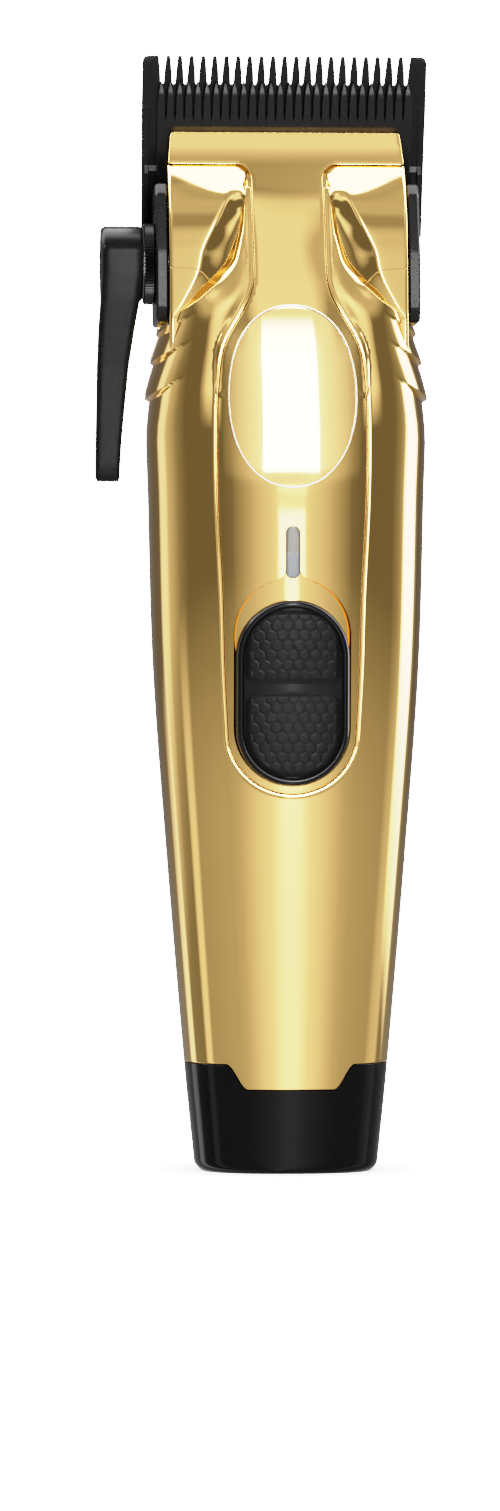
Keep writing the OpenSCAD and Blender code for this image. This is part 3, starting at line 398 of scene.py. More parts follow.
def spaced(*parts):
    """Even steps in parts that follow on, each from its start, end and count of points."""
    steps = [np.linspace(*part) for part in parts]
    return np.concatenate([x[:-1] for x in steps[:-1]] + steps[-1:])


def ease(s):
    s = np.clip(s, 0, 1)
    return s * s * (3 - 2 * s)


def mixed(a, b, s):
    return a + (b - a) * s


def power(v):
    return np.sign(v) * np.abs(v) ** (2 / POW)


def body_at(a, z, out=0.0):
    """Points of the body at angles a in degrees, 0 on the right and 270 in front, and at heights z."""
    a = np.radians(a)
    wide = curve(BODY, z, 1) + out
    deep = np.where(np.sin(a) < 0, curve(BODY, z, 2), curve(BODY, z, 3)) + out
    return stack(wide * power(np.cos(a)), deep * power(np.sin(a)), z)


def angle_of(x, z):
    """The angle on the front, 180 to 360, of a point at x."""
    c = np.clip(np.asarray(x) / curve(BODY, z, 1), -1, 1)
    c = np.sign(c) * np.abs(c) ** (POW / 2)
    return 360 - np.degrees(np.arccos(c))


def front_y(x, z):
    return -curve(BODY, z, 2) * (1 - np.minimum(np.abs(x) / curve(BODY, z, 1), 1) ** POW) ** (1 / POW)


def panel_y(x, z, proud=0.3):
    x, z = np.asarray(x, float), np.asarray(z, float)
    low = front_y(x, np.minimum(z, 123)) - proud
    flat = x * x * 0.006 * (1 - ease((z - 146) / 12))
    sag = mixed(front_y(x, 123.0) - front_y(0, 123.0), flat, ease((z - 123) / 20))
    high = curve(SPINE, z) + sag + (0.5 - proud)
    return np.where(z < 123, low, high)


def head_y(x, z):
    """Depth of the head beside the stem: a face, a ridge, and a hollow behind the wing."""
    a = np.abs(x)
    ridge = curve(RIDGE, z)
    corner = np.clip((a - 18.4) / 0.6, 0, 1)
    face = curve(BLOCK, z) + (a - 14) * 0.13 * (1 - ease((z - 154) / 6)) + 0.6 * (1 - np.sqrt(1 - corner**2))
    q = ridge - a
    s = 0.5 * (q + np.sqrt(q * q + 0.09)) / (ridge - 6.4)
    s = np.clip(s, 0, 1)
    crease = 1 - (1 - np.minimum(s / 0.9, 1)) ** 1.9
    shoulder = 1 - np.sqrt(1 - 0.97 * s**2)
    return mixed(face, curve(CHANNEL, z), mixed(crease, shoulder, ease((z - 152.5) / 4)))


# ---- Mesh builders ----


def make_object(name, mesh, body, slot, node, sharp):
    """A piece from points in mm and faces; it rides on a body and takes the place of a CAD node."""
    me = bpy.data.meshes.new(name)
    me.from_pydata([tuple(v) for v in mesh[0] * MM], [], mesh[1])
    me.polygons.foreach_set("use_smooth", [True] * len(me.polygons))
    me.materials.append(MATS[slot])
    me.validate()
    o = bpy.data.objects.new(name, me)
    scene.collection.objects.link(o)
    me.set_sharp_from_angle(angle=math.radians(sharp))
    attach(o, body)
    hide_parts(node)
    return o


def unit(v):
    return v / np.maximum(np.linalg.norm(v, axis=-1, keepdims=True), 1e-12)


RIM_LEVELS = 4


def thick_grid(p, wall, radius, flip=False):
    """A closed sheet: the outer grid p, rounded rims all round, and an inner grid at wall depth."""
    nrm = unit(np.cross(np.gradient(p, axis=0), np.gradient(p, axis=1))) * (-1 if flip else 1)
    m, n = p.shape[:2]
    th = np.linspace(0, math.pi / 2, RIM_LEVELS + 1)[1:]

    def away(rim, beside, normal):
        d = unit(rim - beside)
        return unit(d - normal * np.sum(d * normal, -1, keepdims=True))

    ends_i = away(p[0], p[1], nrm[0]), away(p[-1], p[-2], nrm[-1])
    ends_j = away(p[:, 0], p[:, 1], nrm[:, 0]), away(p[:, -1], p[:, -2], nrm[:, -1])
    ext_i, ext_j = ([(0, t) for t in th[::-1]] + [(i, 0.0) for i in range(k)] + [(k - 1, t) for t in th]
                    for k in (m, n))
    mi, mj = len(ext_i), len(ext_j)
    verts = np.zeros((mi, mj, 3))
    verts[RIM_LEVELS:RIM_LEVELS + m, RIM_LEVELS:RIM_LEVELS + n] = p
    for a, (i, ti) in enumerate(ext_i):
        for b, (j, tj) in enumerate(ext_j):
            if ti or tj:
                reach = ends_i[i > 0][j] * math.sin(ti) + ends_j[j > 0][i] * math.sin(tj)
                verts[a, b] = p[i, j] + radius * (reach - nrm[i, j] * (2 - math.cos(ti) - math.cos(tj)))
    idx = np.arange(mi * mj).reshape(mi, mj)
    outer = stack(idx[:-1, :-1], idx[1:, :-1], idx[1:, 1:], idx[:-1, 1:]).reshape(-1, 4)
    idn = mi * mj + np.arange(m * n).reshape(m, n)
    inner = stack(idn[:-1, :-1], idn[:-1, 1:], idn[1:, 1:], idn[1:, :-1]).reshape(-1, 4)
    loop = ([(a, 0) for a in range(mi)] + [(mi - 1, b) for b in range(1, mj)]
            + [(a, mj - 1) for a in range(mi - 2, -1, -1)] + [(0, b) for b in range(mj - 2, 0, -1)])
    walls = []
    for (a, b), (c, d) in zip(loop, loop[1:] + loop[:1]):
        qa, qc = idn[ext_i[a][0], ext_j[b][0]], idn[ext_i[c][0], ext_j[d][0]]
        walls.append((idx[a, b], qa, qc, idx[c, d]) if qa != qc else (idx[a, b], qa, idx[c, d]))
    faces = [tuple(face) for face in (*outer, *inner)] + walls
    if flip:
        faces = [face[::-1] for face in faces]
    return np.concatenate([verts.reshape(-1, 3), (p - nrm * wall).reshape(-1, 3)]), faces


def loop_offset(loop, d):
    """A closed 2D loop moved outwards by d, for loops that run anticlockwise."""
    prev, nxt = np.roll(loop, 1, 0), np.roll(loop, -1, 0)
    t = unit(unit(loop - prev) + unit(nxt - loop))
    return loop + stack(t[:, 1], -t[:, 0]) * d


def along(p):
    """How far along a line each of its points is."""
    return np.concatenate([[0], np.cumsum(np.linalg.norm(np.diff(p, axis=0), axis=1))])


def resample(loop, step, closed=True):
    pts = np.concatenate([loop, loop[:1]]) if closed else loop
    s = along(pts)
    count = max(int(round(s[-1] / step)), 8)
    want = np.linspace(0, s[-1], count + 1)[: -1 if closed else None]
    return stack(*(np.interp(want, s, axis) for axis in pts.T))


def round_corners(poly, radii, n=8):
    """A polygon with its corners rounded; radii has one value per corner."""
    poly = np.asarray(poly, float)
    res = []
    for i, r in enumerate(radii):
        a, b, c = poly[i - 1], poly[i], poly[(i + 1) % len(poly)]
        u, v = unit(a - b), unit(c - b)
        half = math.acos(np.clip(u @ v, -1, 1)) / 2
        if r <= 0 or half > math.pi / 2 - 5e-4:
            res.append(b)
            continue
        d = min(r / math.tan(half), 0.49 * np.linalg.norm(a - b), 0.49 * np.linalg.norm(c - b))
        r2 = d * math.tan(half)
        centre = b + unit(u + v) * (r2 / math.sin(half))
        start, end = (math.atan2(*(b + side * d - centre)[::-1]) for side in (u, v))
        turn = (end - start + math.pi) % (2 * math.pi) - math.pi
        t = start + turn * np.linspace(0, 1, n + 1)
        res += list(centre + r2 * stack(np.cos(t), np.sin(t)))
    return np.array(res)


def inside(poly, pts):
    x, y = pts[:, 0], pts[:, 1]
    res = np.zeros(len(pts), bool)
    for (xi, yi), (xj, yj) in zip(poly, np.roll(poly, 1, 0)):
        res ^= ((yi > y) != (yj > y)) & (x < (xj - xi) * (y - yi) / (yj - yi + 1e-15) + xi)
    return res


def edge_distance(poly, pts):
    best = np.full(len(pts), 1e9)
    for a, b in zip(poly, np.roll(poly, -1, 0)):
        ab = b - a
        t = np.clip(((pts - a) @ ab) / max(ab @ ab, 1e-12), 0, 1)
        best = np.minimum(best, np.linalg.norm(pts - a - t[:, None] * ab, axis=1))
    return best


def lattice(lo, hi, step):
    gx, gz = np.arange(lo[0], hi[0] + step, step), np.arange(lo[1], hi[1] + step, step)
    return stack(*np.meshgrid(gx, gz)).reshape(-1, 2)


def triangulate(points, edges, mode):
    """A mesh over points in x and z that keeps the edges, and where each point went in it."""
    v2, _, tris, orig, _, _ = delaunay_2d_cdt([Vector(p) for p in points], edges, [], mode, 1e-7)
    v2, tris = np.array([tuple(p) for p in v2]), np.array(tris)
    e1, e2 = v2[tris[:, 1]] - v2[tris[:, 0]], v2[tris[:, 2]] - v2[tris[:, 0]]
    turned = e1[:, 0] * e2[:, 1] - e1[:, 1] * e2[:, 0] < 0
    tris[turned] = tris[turned][:, ::-1]
    return v2, tris, {given: i for i, origin in enumerate(orig) for given in origin}


def plate(outline, holes, surface, thick, step=0.6, radius=0.14, levels=4, back=None, lift=None, fine=(),
          creases=()):
    """A closed plate over a 2D outline in x and z, with rounded rims. surface(x, z) is its front's depth.

    lift(p, d) replaces it on a surface that isn't a plain depth. fine lists boxes with a denser mesh,
    and creases are lines that edges of the mesh follow. radius is one value, or one for each loop.
    """
    radii = np.broadcast_to(radius, len(holes) + 1)
    core = [loop_offset(outline, -radii[0])] + [loop_offset(h, r) for h, r in zip(holes, radii[1:])]
    pts = lattice(core[0].min(0), core[0].max(0), step)
    gap = np.full(len(pts), step * 0.45)
    for x0, z0, x1, z1, near in fine:
        apart = (pts[:, 0] < x0) | (pts[:, 0] > x1) | (pts[:, 1] < z0) | (pts[:, 1] > z1)
        more = lattice((x0, z0), (x1, z1), near)
        pts = np.concatenate([pts[apart], more])
        gap = np.concatenate([gap[apart], np.full(len(more), near * 0.45)])
    keep = inside(core[0], pts) & (edge_distance(core[0], pts) > gap)
    for c in core[1:]:
        keep &= ~inside(c, pts) & (edge_distance(c, pts) > gap)
    pts = pts[keep]
    if creases:
        marks = np.concatenate([resample(c, 0.12, closed=False) for c in creases])
        tree = KDTree(len(marks))
        for i, mark in enumerate(marks):
            tree.insert((*mark, 0.0), i)
        tree.balance()
        pts = pts[[tree.find((*q, 0.0))[2] > 0.14 for q in pts]]
    chains, edges, k = core + list(creases), [], 0
    for number, c in enumerate(chains):
        count = len(c) if number < len(core) else len(c) - 1  # a crease has two ends
        edges += [(k + i, k + (i + 1) % len(c)) for i in range(count)]
        k += len(c)
    v2, tris, where = triangulate(np.concatenate(chains + [pts]), edges, 0)
    mid = v2[tris].mean(1)
    ok = inside(core[0], mid)
    for c in core[1:]:
        ok &= ~inside(c, mid)
    tris = tris[ok]

    if lift is None:
        def lift(p, d):
            return stack(p[:, 0], surface(*p.T) + d, p[:, 1])

    def lift_back(p):
        return lift(p, thick) if back is None else stack(p[:, 0], back(*p.T), p[:, 1])

    nv = len(v2)
    verts = [lift(v2, 0.0), lift_back(v2)]
    faces = [tuple(t) for t in tris] + [tuple(nv + i for i in t[::-1]) for t in tris]
    total = 2 * nv
    k = 0
    for number, c in enumerate(core):
        first = [where[k + i] for i in range(len(c))]
        k += len(c)
        rows = [first]
        reach = -radii[number] if number else radii[0]
        for t in np.linspace(0, math.pi / 2, levels + 1)[1:]:
            verts.append(lift(loop_offset(c, reach * math.sin(t)), abs(reach) * (1 - math.cos(t))))
        verts.append(lift_back(loop_offset(c, reach)))
        for _ in range(levels + 1):
            rows.append(list(range(total, total + len(c))))
            total += len(c)
        rows.append([nv + i for i in first])
        for a, b in zip(rows, rows[1:]):
            faces += [(a[i - 1], b[i - 1], b[i], a[i]) for i in range(len(c))]
    return np.concatenate(verts), faces


def drilled(shape, holes):
    """A closed mesh less holes: each has an axis (0 to 2), centre, radius, half length and stretch in x."""
    bm = bmesh.new()
    for axis, centre, radius, half, stretch in holes:
        turn_to = Vector([float(i == axis) for i in range(3)]).to_track_quat("Z", "Y").to_matrix().to_4x4()
        made = bmesh.ops.create_cone(
            bm, cap_ends=True, segments=40, radius1=radius, radius2=radius, depth=2 * half,
            matrix=Matrix.Translation(centre) @ turn_to)
        for vert in made["verts"]:
            vert.co.x += math.copysign(stretch, vert.co.x - centre[0])
    tool_mesh, mesh = bpy.data.meshes.new("holes"), bpy.data.meshes.new("blank")
    bm.to_mesh(tool_mesh)
    bm.free()
    mesh.from_pydata([tuple(q) for q in shape[0]], [], shape[1])
    tool, blank = bpy.data.objects.new("holes", tool_mesh), bpy.data.objects.new("blank", mesh)
    for o in (tool, blank):
        scene.collection.objects.link(o)
    cut = blank.modifiers.new("holes", "BOOLEAN")
    cut.operation, cut.solver, cut.object = "DIFFERENCE", "EXACT", tool
    done = blank.evaluated_get(bpy.context.evaluated_depsgraph_get()).to_mesh()
    verts = np.array([tuple(q.co) for q in done.vertices])
    faces = [tuple(q.vertices) for q in done.polygons]
    for o in (tool, blank):
        bpy.data.objects.remove(o)
    return verts, faces


def ccw(loop):
    x, y = loop[:, 0], loop[:, 1]
    return loop if np.sum(x * np.roll(y, -1) - y * np.roll(x, -1)) > 0 else loop[::-1]


def cw(loop):
    return ccw(loop)[::-1]


def both_sides(right):
    """A closed outline from its right half; points on the middle line aren't doubled."""
    left = right[::-1] * [-1, 1]
    return np.concatenate([right, left[np.abs(left[:, 0]) > 1e-6]])


def join(parts):
    verts, faces, k = [], [], 0
    for v, f in parts:
        verts.append(v)
        faces += [tuple(k + i for i in t) for t in f]
        k += len(v)
    return np.concatenate(verts), faces


def ring_mesh(p, flip=False):
    """A closed mesh through a stack of rings, with a face across the first and the last."""
    p = np.array(p)
    m, n = p.shape[:2]
    idx = np.arange(m * n).reshape(m, n)
    a, b = idx[:-1], idx[1:]
    faces = stack(a, np.roll(a, -1, 1), np.roll(b, -1, 1), b).reshape(-1, 4)
    if flip:
        faces = faces[:, [0, 3, 2, 1]]
    ends = [idx[0, ::-1], idx[-1]]
    faces = [tuple(x) for x in faces] + [tuple(x[::-1] if flip else x) for x in ends]
    return p.reshape(-1, 3), faces


# ---- Casing: front half ----


def seam_right(grow):
    """The spine panel's seam on the right, from the wing's tip down to the lowest point, in x and z."""
    z = np.concatenate([np.linspace(157.6, 142, 30), np.linspace(141.6, 122, 60), np.linspace(121, 70, 80)])
    a = np.radians(np.linspace(88, 0, 40))
    low = stack(PANEL[0, 1] * np.sin(a), PANEL[0, 0] - (PANEL[0, 0] - PANEL_END) * np.cos(a))
    p = np.concatenate([stack(curve(PANEL, z), z), low])
    t = unit(np.gradient(p, axis=0))
    away = stack(-t[:, 1], t[:, 0])
    away[-1] = (0, -1)
    return p + away * grow


TIPS = [133.1, 128.6, 122.9]  # heights of the grip ridges' tips
STEP = 0.13


def saw(z):
    """How far the grip ridges stand out at the side, at height z."""
    steps = [tip + off for tip in reversed(TIPS) for off in (-STEP, STEP)]
    heights = [115.9, 118, 120.5, *steps, 137]
    return np.interp(z, heights, [0, -0.08, -0.28, -0.45, 0.42, -0.3, 0.4, -0.3, 0.28, 0])


CAP = 17.3  # height of the casing's lower edge


def tongue_edge(x):
    """Height of the front half's lower edge at x."""
    return CAP + 0.12 - 4 * (1 - ease((np.abs(x) - 6.8) / 3.4))


BEND = np.linspace(0, 90, 721)
ARC = along(body_at(270 + BEND, 107.0))


def unroll(x, z):
    """Place a point of the front at x, z on the casing's unrolled sheet."""
    bend = angle_of(x, z) - 270
    return stack(np.sign(bend) * np.interp(np.abs(bend), BEND, ARC), z)


def front_half():
    lip_line = seam_right(SEAM * 0.4)
    lip_line = lip_line[lip_line[:, 1] < 156.9]
    wing_x = np.linspace(WING[-1, 0], WING[0, 0], 60)
    wing = resample(stack(wing_x, np.interp(wing_x, WING[:, 0], WING[:, 1])), 0.4, closed=False)
    side_z = np.arange(CAP + 0.12, WING[-1, 1], 0.4)
    edge = ARC[-1] - 0.02
    low_x = np.linspace(0, 0.9996, 60) * curve(BODY, CAP, 1)
    right = np.concatenate([unroll(low_x, tongue_edge(low_x)), stack(edge, side_z), unroll(*wing[1:].T),
                            unroll(*lip_line.T)])
    outline = ccw(resample(both_sides(right), 0.42))

    def lift(p, d):
        bend = np.sign(p[:, 0]) * np.interp(np.abs(p[:, 0]), ARC, BEND)
        z = p[:, 1]
        q = body_at(270 + bend, z)
        wide, deep = curve(BODY, z, 1), curve(BODY, z, 2)
        x = np.abs(q[:, 0])
        n = unit(stack(np.sign(q[:, 0]) * (x / wide) ** 1.5 / wide, -np.abs(q[:, 1] / deep) ** 1.5 / deep))
        inward = wide - x
        ridges = saw(z - 0.62 * inward) * (1 - ease(inward / 5.5))
        from_seam = edge_distance(lip_line, stack(x, z))
        from_wing = edge_distance(wing, stack(x, z))
        # beside the stem the sheet follows the panel and rolls away towards the wing's edge
        band = panel_y(x, z) + 0.04 + 0.10 * from_seam
        rolled = band + 0.06 * from_seam**2 + 0.5 * np.clip(1 - from_wing, 0, 1) ** 2
        y = mixed(q[:, 1], rolled, ease((z - 134) / 11) * (1 - ease((from_seam - 3) / 5)))
        broad = mixed(0.32, 0.95, ease((z - 122) / 10))
        bead = 0.11 * np.exp(-(((from_seam - 0.42) / 0.17) ** 2))
        lip = 1 - ease((from_seam - broad) / 0.32)
        q[:, 1] = mixed(y, np.minimum(band, y - 0.02) - bead, np.where(z < 58, 0, lip))
        q[:, :2] += n * (ridges - d)[:, None]
        return q

    creases = []
    for off in (0.22, 0.32, 0.42, 0.52, 0.66, 0.85, 1.1, 1.35):
        line = seam_right(SEAM * 0.4 + off)
        line = unroll(*line[line[:, 1] < 155.5].T)
        creases.append(resample(both_sides(line), 0.42, closed=False))
    for tip in TIPS:
        for off in (-STEP, STEP):
            inward = np.linspace(0.12, 5.2, 22)
            z = tip + off + 0.62 * inward
            line = unroll(curve(BODY, z, 1) - inward, z)
            line = line[line[:, 0] < edge - 0.45]
            creases += [line, line * [-1, 1]]
    fine = [(17, 117.5, edge, 138, 0.28), (-edge, 117.5, -17, 138, 0.28), (5, 120, 14, 157.5, 0.3),
            (-14, 120, -5, 157.5, 0.3)]
    return plate(outline, [], None, 1.7, step=0.62, radius=0.12, lift=lift, fine=fine, creases=creases)


make_object("front_casing", front_half(), "housing", "gold_plate", "front_shell", 38)

# ---- Casing: rear half ----


def rear_half():
    edge = np.array([[0, 143.2], [8, 142.8], [13, 141.2], [17, 138], [20.2, 134.6]])
    cols = spaced((0.05, 12, 34), (12, 168, 90), (168, 179.95, 34))
    z_top = WING[-1, 1]
    drops, prev = [[0.0]], 0.0
    for tip in TIPS:
        d = z_top - tip
        drops += [np.linspace(prev, d - STEP, max(int((d - prev) / 0.35), 3) + 1)[1:], [d + STEP]]
        prev = d + STEP
    drops.append(np.linspace(prev, z_top - CAP - 0.12, 150)[1:])
    x = np.abs(body_at(cols, 140.0)[:, 0])
    climb = np.interp(x, edge[:, 0], edge[:, 1]) - z_top
    rows = []
    for z in z_top - np.concatenate(drops):
        zz = z + climb * ease((z - 90) / (z_top - 90))
        q = body_at(cols, zz)
        side = np.clip((np.abs(q[:, 0]) / curve(BODY, zz, 1) - 0.80) / 0.17, 0, 1)
        lift = saw(z) * ease(side)
        rows.append(q + stack(np.cos(np.radians(cols)) * lift, np.sin(np.radians(cols)) * lift, 0.0))
    return np.array(rows)


screws = [(1, (x, 13, z), 2.1, 7, 0) for x in (-14.2, 14.2) for z in (34, 50)]
mesh = drilled(thick_grid(rear_half(), 1.7, 0.12), screws)
make_object("rear_casing", mesh, "housing", "gold_plate", "rear_shell", 38)

# ---- Spine panel ----

BAR_Z, BAR_TOP, BAR_W = 160.6, 166.0, 18.35  # the bar's lower edge, upper edge and half width


def panel_loop():
    seam = seam_right(-SEAM * 0.5)
    seam = seam[seam[:, 1] < 156]
    r = 2.4
    x0 = PANEL[-1, 1] - SEAM * 0.5
    a = np.radians(np.linspace(180, 90, 10))
    bend = stack(x0 + r + r * np.cos(a), BAR_Z - r + r * np.sin(a))
    bar = [[x0 + r, BAR_Z], [BAR_W + 0.5, BAR_Z], [BAR_W, BAR_TOP], [0, BAR_TOP]]
    top = round_corners(bar, [0, 0.15, 0.4, 0])
    return ccw(resample(both_sides(np.concatenate([seam[::-1], bend, top[1:-1]])), 0.45))


def stadium_loop(wd, lo, hi, step=0.35):
    a = np.radians(np.linspace(0, 180, 25))
    top = stack(wd * np.cos(a), hi - wd + wd * np.sin(a))
    low = stack(-wd * np.cos(a), lo + wd - wd * np.sin(a))
    return ccw(resample(np.concatenate([top, low]), step))


SW_Z, SW_Y, LEAN = 76.0, -19.3, math.radians(2.4)  # the switch's middle and how far it leans forwards
REC_W, REC_LOW, REC_HIGH = 9.8, 60.7, 94.7  # the recess's half width and its ends
NECK_W, NECK_TOP = 1.71, 102.8  # its neck, for the light


def keyhole_loop(grow=0.0):
    wd, lo, hi = REC_W + grow, REC_LOW - grow, REC_HIGH + grow
    nw, nt = NECK_W + grow, NECK_TOP + grow
    cz = hi - wd
    # a fillet between the big circle and the neck's side
    fl = 1.0
    fx = nw + fl
    fz = cz + math.sqrt((wd + fl) ** 2 - fx**2)
    a_big = math.atan2(fz - cz, fx)
    arcs = [(0, nt - nw, nw, math.pi / 2, 0, 12), (fx, fz, fl, math.pi, math.pi + a_big, 10),
            (0, cz, wd, a_big, 0, 24), (0, lo + wd, wd, 0, -math.pi / 2, 28)]
    right = [stack(x + r * np.cos(t), z + r * np.sin(t)) for x, z, r, start, end, count in arcs
             for t in [np.linspace(start, end, count)]]
    return ccw(resample(both_sides(np.concatenate(right)), 0.35))


MED_Z, MED_W, MED_H = 122.7, 10.15, 14.5  # its middle, half width and half height
MED_POINTS = 150


def oval(a, fullness):
    """Cosines and sines of angles, pulled towards a rounder or a squarer shape."""
    return (np.sign(q) * np.abs(q) ** fullness for q in (np.cos(a), np.sin(a)))


def medal_loop(grow=0.0):
    c, s = oval(np.linspace(0, 2 * math.pi, MED_POINTS, endpoint=False), 0.92)
    return stack((MED_W + grow) * c, MED_Z + (MED_H + grow) * s)


mesh = plate(panel_loop(), [cw(keyhole_loop()), cw(medal_loop(0.08))], panel_y, 1.5, step=0.55,
             radius=(0.13, 0.55, 0.12), levels=6)
make_object("spine", mesh, "housing", "gold_plate", "spine_panel", 40)


# ---- Medallion: a flatter oval with a fine raised rim ----


def medal_y(x, z):
    base = panel_y(0, MED_Z)
    up_y, low_y = panel_y(0, MED_Z + MED_H), panel_y(0, MED_Z - MED_H)
    s = (z - MED_Z) / MED_H
    y = base + (up_y + low_y - 2 * base) / 2 * s * s + (up_y - low_y) / 2 * s
    return y + 0.6 * np.abs(x / MED_W) ** 3.5 + 0.14 - 0.83 * np.maximum(-s - 0.6, 0) ** 2


MED_FACE = np.concatenate([np.linspace(0.02, 0.9, 40), np.linspace(0.91, 0.968, 8)])
MED_RIM = [(-0.3, 0.0), (-0.28, -0.08), (-0.22, -0.15), (-0.13, -0.19), (-0.03, -0.17), (0.04, -0.09),
           (0.06, 0.02), (0.06, 1.3)]  # how far out from the oval, and how deep below the face


def medal_disc():
    loop = medal_loop()
    edge_y = panel_y(*loop.T)
    rings = []
    for r in MED_FACE:
        q = loop * r + [0, MED_Z * (1 - r)]
        rings.append(stack(q[:, 0], medal_y(*q.T), q[:, 1]))
    for d, h in MED_RIM:
        q = loop_offset(loop, d)
        rings.append(stack(q[:, 0], np.minimum(medal_y(*q.T), edge_y + 0.02) + h, q[:, 1]))
    return ring_mesh(rings, flip=True)


disc = make_object("medallion_disc", medal_disc(), "housing", "gold_mirror", "medallion", 60)
# the rim's first rings take the paler gold: a painted highlight line round the oval
disc.data.materials.append(MATS["gold_rim"])
for poly in disc.data.polygons:
    ring_number = poly.index // MED_POINTS - len(MED_FACE)
    poly.material_index = int(0 <= ring_number < 5)


# ---- Head: nose cap and collar ----

PARTING = np.array([[11, 140.6], [12.4, 141.2], [13.9, 142.7], [15.7, 143.3], [18.9, 143.5]])


def head_grid(low, high, rows):
    """A grid round the front and cheeks of the head, between two heights or the parting line."""
    half = spaced((0, 5.6, 6), (5.6, 9, 29), (9, 18.4, 56), (18.4, 18.999, 11))
    cols = np.concatenate([-half[::-1][:-1], half])
    part = np.interp(np.abs(cols), PARTING[:, 0], PARTING[:, 1])
    zz = mixed(part + 0.08 if low is None else low, part - 0.08 if high is None else high,
               np.linspace(0, 1, rows)[:, None])
    p = stack(cols, head_y(cols, zz), zz)
    # cheeks run back along the sides
    z = p[:, -1:, 2]
    back = HEEL_Y - (z - HEEL_Z) * math.tan(TILT)
    back = np.where(z > 158.4, back - 2.75, np.minimum(back - 0.35, 14.2))
    cheek = stack(19.0, mixed(p[:, -1:, 1], back, np.linspace(0, 1, 26)[1:]), z)
    return np.concatenate([cheek[:, ::-1] * [-1, 1, 1], p, cheek], 1)


nose = thick_grid(head_grid(None, 160.35, 90), 1.2, 0.1, flip=True)
make_object("nose", nose, "housing", "gold_plate", "nose_cap", 50)
collar = thick_grid(head_grid(130.1, None, 60), 1.2, 0.1, flip=True)
make_object("collar", collar, "housing", "gold_plate", "head_collar", 50)

# ---- Switch ----


def leaned(p, y0, z0, lean):
    """From a frame that leans forwards, where y is depth and z runs up the slope, to the object's own."""
    x, y, z = np.asarray(p, float).T
    c, s = math.cos(lean), math.sin(lean)
    return stack(x, y0 + y * c - z * s, z0 + y * s + z * c)


def in_switch(p):
    return leaned(p, SW_Y, SW_Z, LEAN)


CROWN = 43.0  # radius of the switch's crowned front


def crown_y(x, depth):
    r = CROWN - depth
    return CROWN - np.sqrt(np.maximum(r * r - x * x, 0))


def local(loop):
    return loop - np.array([0, SW_Z])


def switch_plate(loop, holes, top, thick, **kw):
    v, f = plate(local(loop), [local(h) for h in holes], lambda x, z: crown_y(x, top), thick, **kw)
    return in_switch(v), f


light_hole = cw(stadium_loop(1.22, 93.85, 102.35))
tray = switch_plate(keyhole_loop(-0.03), [light_hole], 1.8, 0.25, step=0.7, radius=0.05)
make_object("slider_tray", tray, "housing", "gold_plate", "switch_tray", 40)

SLIDER_HALF = np.array([8.97, 14.65])  # half width and half height
# how far out from the slider's edge, and how deep below the crown
SLIDER_RIM = [(0.0, 1.7), (0.0, 0.2), (-0.03, -0.5), (-0.10, -0.85), (-0.24, -1.15), (-0.45, -1.36),
              (-0.7, -1.45), (-0.9, -1.42), (-1.05, -1.3), (-1.15, -1.1), (-1.2, -0.85), (-1.3, -0.7),
              (-2.4, -0.68), (-5.0, -0.68), (-8.2, -0.68)]


def slider_frame():
    """The slider's body: a rounded rim that falls to a floor under the pads."""
    base = local(stadium_loop(SLIDER_HALF[0], 61.3, 90.6, 0.3))
    rings = []
    for d, h in SLIDER_RIM:
        q = loop_offset(base, d) if d > -3 else base * (1 + d / SLIDER_HALF)
        rings.append(in_switch(stack(q[:, 0], crown_y(q[:, 0], 0) + h, q[:, 1])))
    return ring_mesh(rings)


make_object("slider_body", slider_frame(), "switch", "slider_gloss", "switch_slider", 50)

PAD_W = 7.6


def hex_height(x, z, pitch_x=1.8, pitch_z=1.56):
    """0 at a groove between the hexagons, 1 on them."""
    near = []
    for dr in (-1, 0, 1):
        row = np.round(z / pitch_z) + dr
        off = np.where(np.mod(row, 2) > 0.5, pitch_x / 2, 0)
        for dc in (-1, 0, 1):
            column = np.round((x - off) / pitch_x) + dc
            near.append(np.hypot(x - (column * pitch_x + off), z - row * pitch_z))
    best, second = np.sort(near, axis=0)[:2]
    return ease((second - best - 0.10) / 0.34)


def thumb_pad(name, z0, z1, r_low, r_high, node, shift):
    corners = [[PAD_W, z0], [PAD_W, z1], [-PAD_W, z1], [-PAD_W, z0]]
    loop = local(ccw(resample(round_corners(corners, [r_low, r_high, r_high, r_low], 24), 0.35)))
    middle = (z0 + z1) / 2 - SW_Z

    def surface(x, z):
        d = edge_distance(loop, stack(x, z))
        dome = 0.25 * (1 - (x / PAD_W) ** 2) * (1 - ((z - middle) / ((z1 - z0) / 2)) ** 2)
        comb = hex_height(x, z + shift) * ease((d - 0.35) / 0.5)
        return crown_y(x, 0) - 0.72 - 0.34 * ease(d) - dome * 0.7 - 0.065 * comb

    v, f = plate(loop, [], surface, 0.5, step=0.14, radius=0.12, back=lambda x, z: crown_y(x, 0) - 0.5)
    make_object(name, (in_switch(v), f), "switch", "thumb_pad", node, 60)


thumb_pad("pad_upper", 77.4, 89.1, 1.6, 6.6, "upper_thumb_pad", 0.4)
thumb_pad("pad_lower", 62.7, 76.2, 7.0, 1.9, "lower_thumb_pad", 0.9)

# ---- Status light ----

light = switch_plate(stadium_loop(1.17, 93.9, 102.3, 0.2), [], 1.4, 0.8, step=0.25, radius=0.22)
make_object("light_lens", light, "housing", "clear_lens", "status_light", 40)

# ---- End cap ----

FOOT = 1.6  # radius of the cap's lower edge


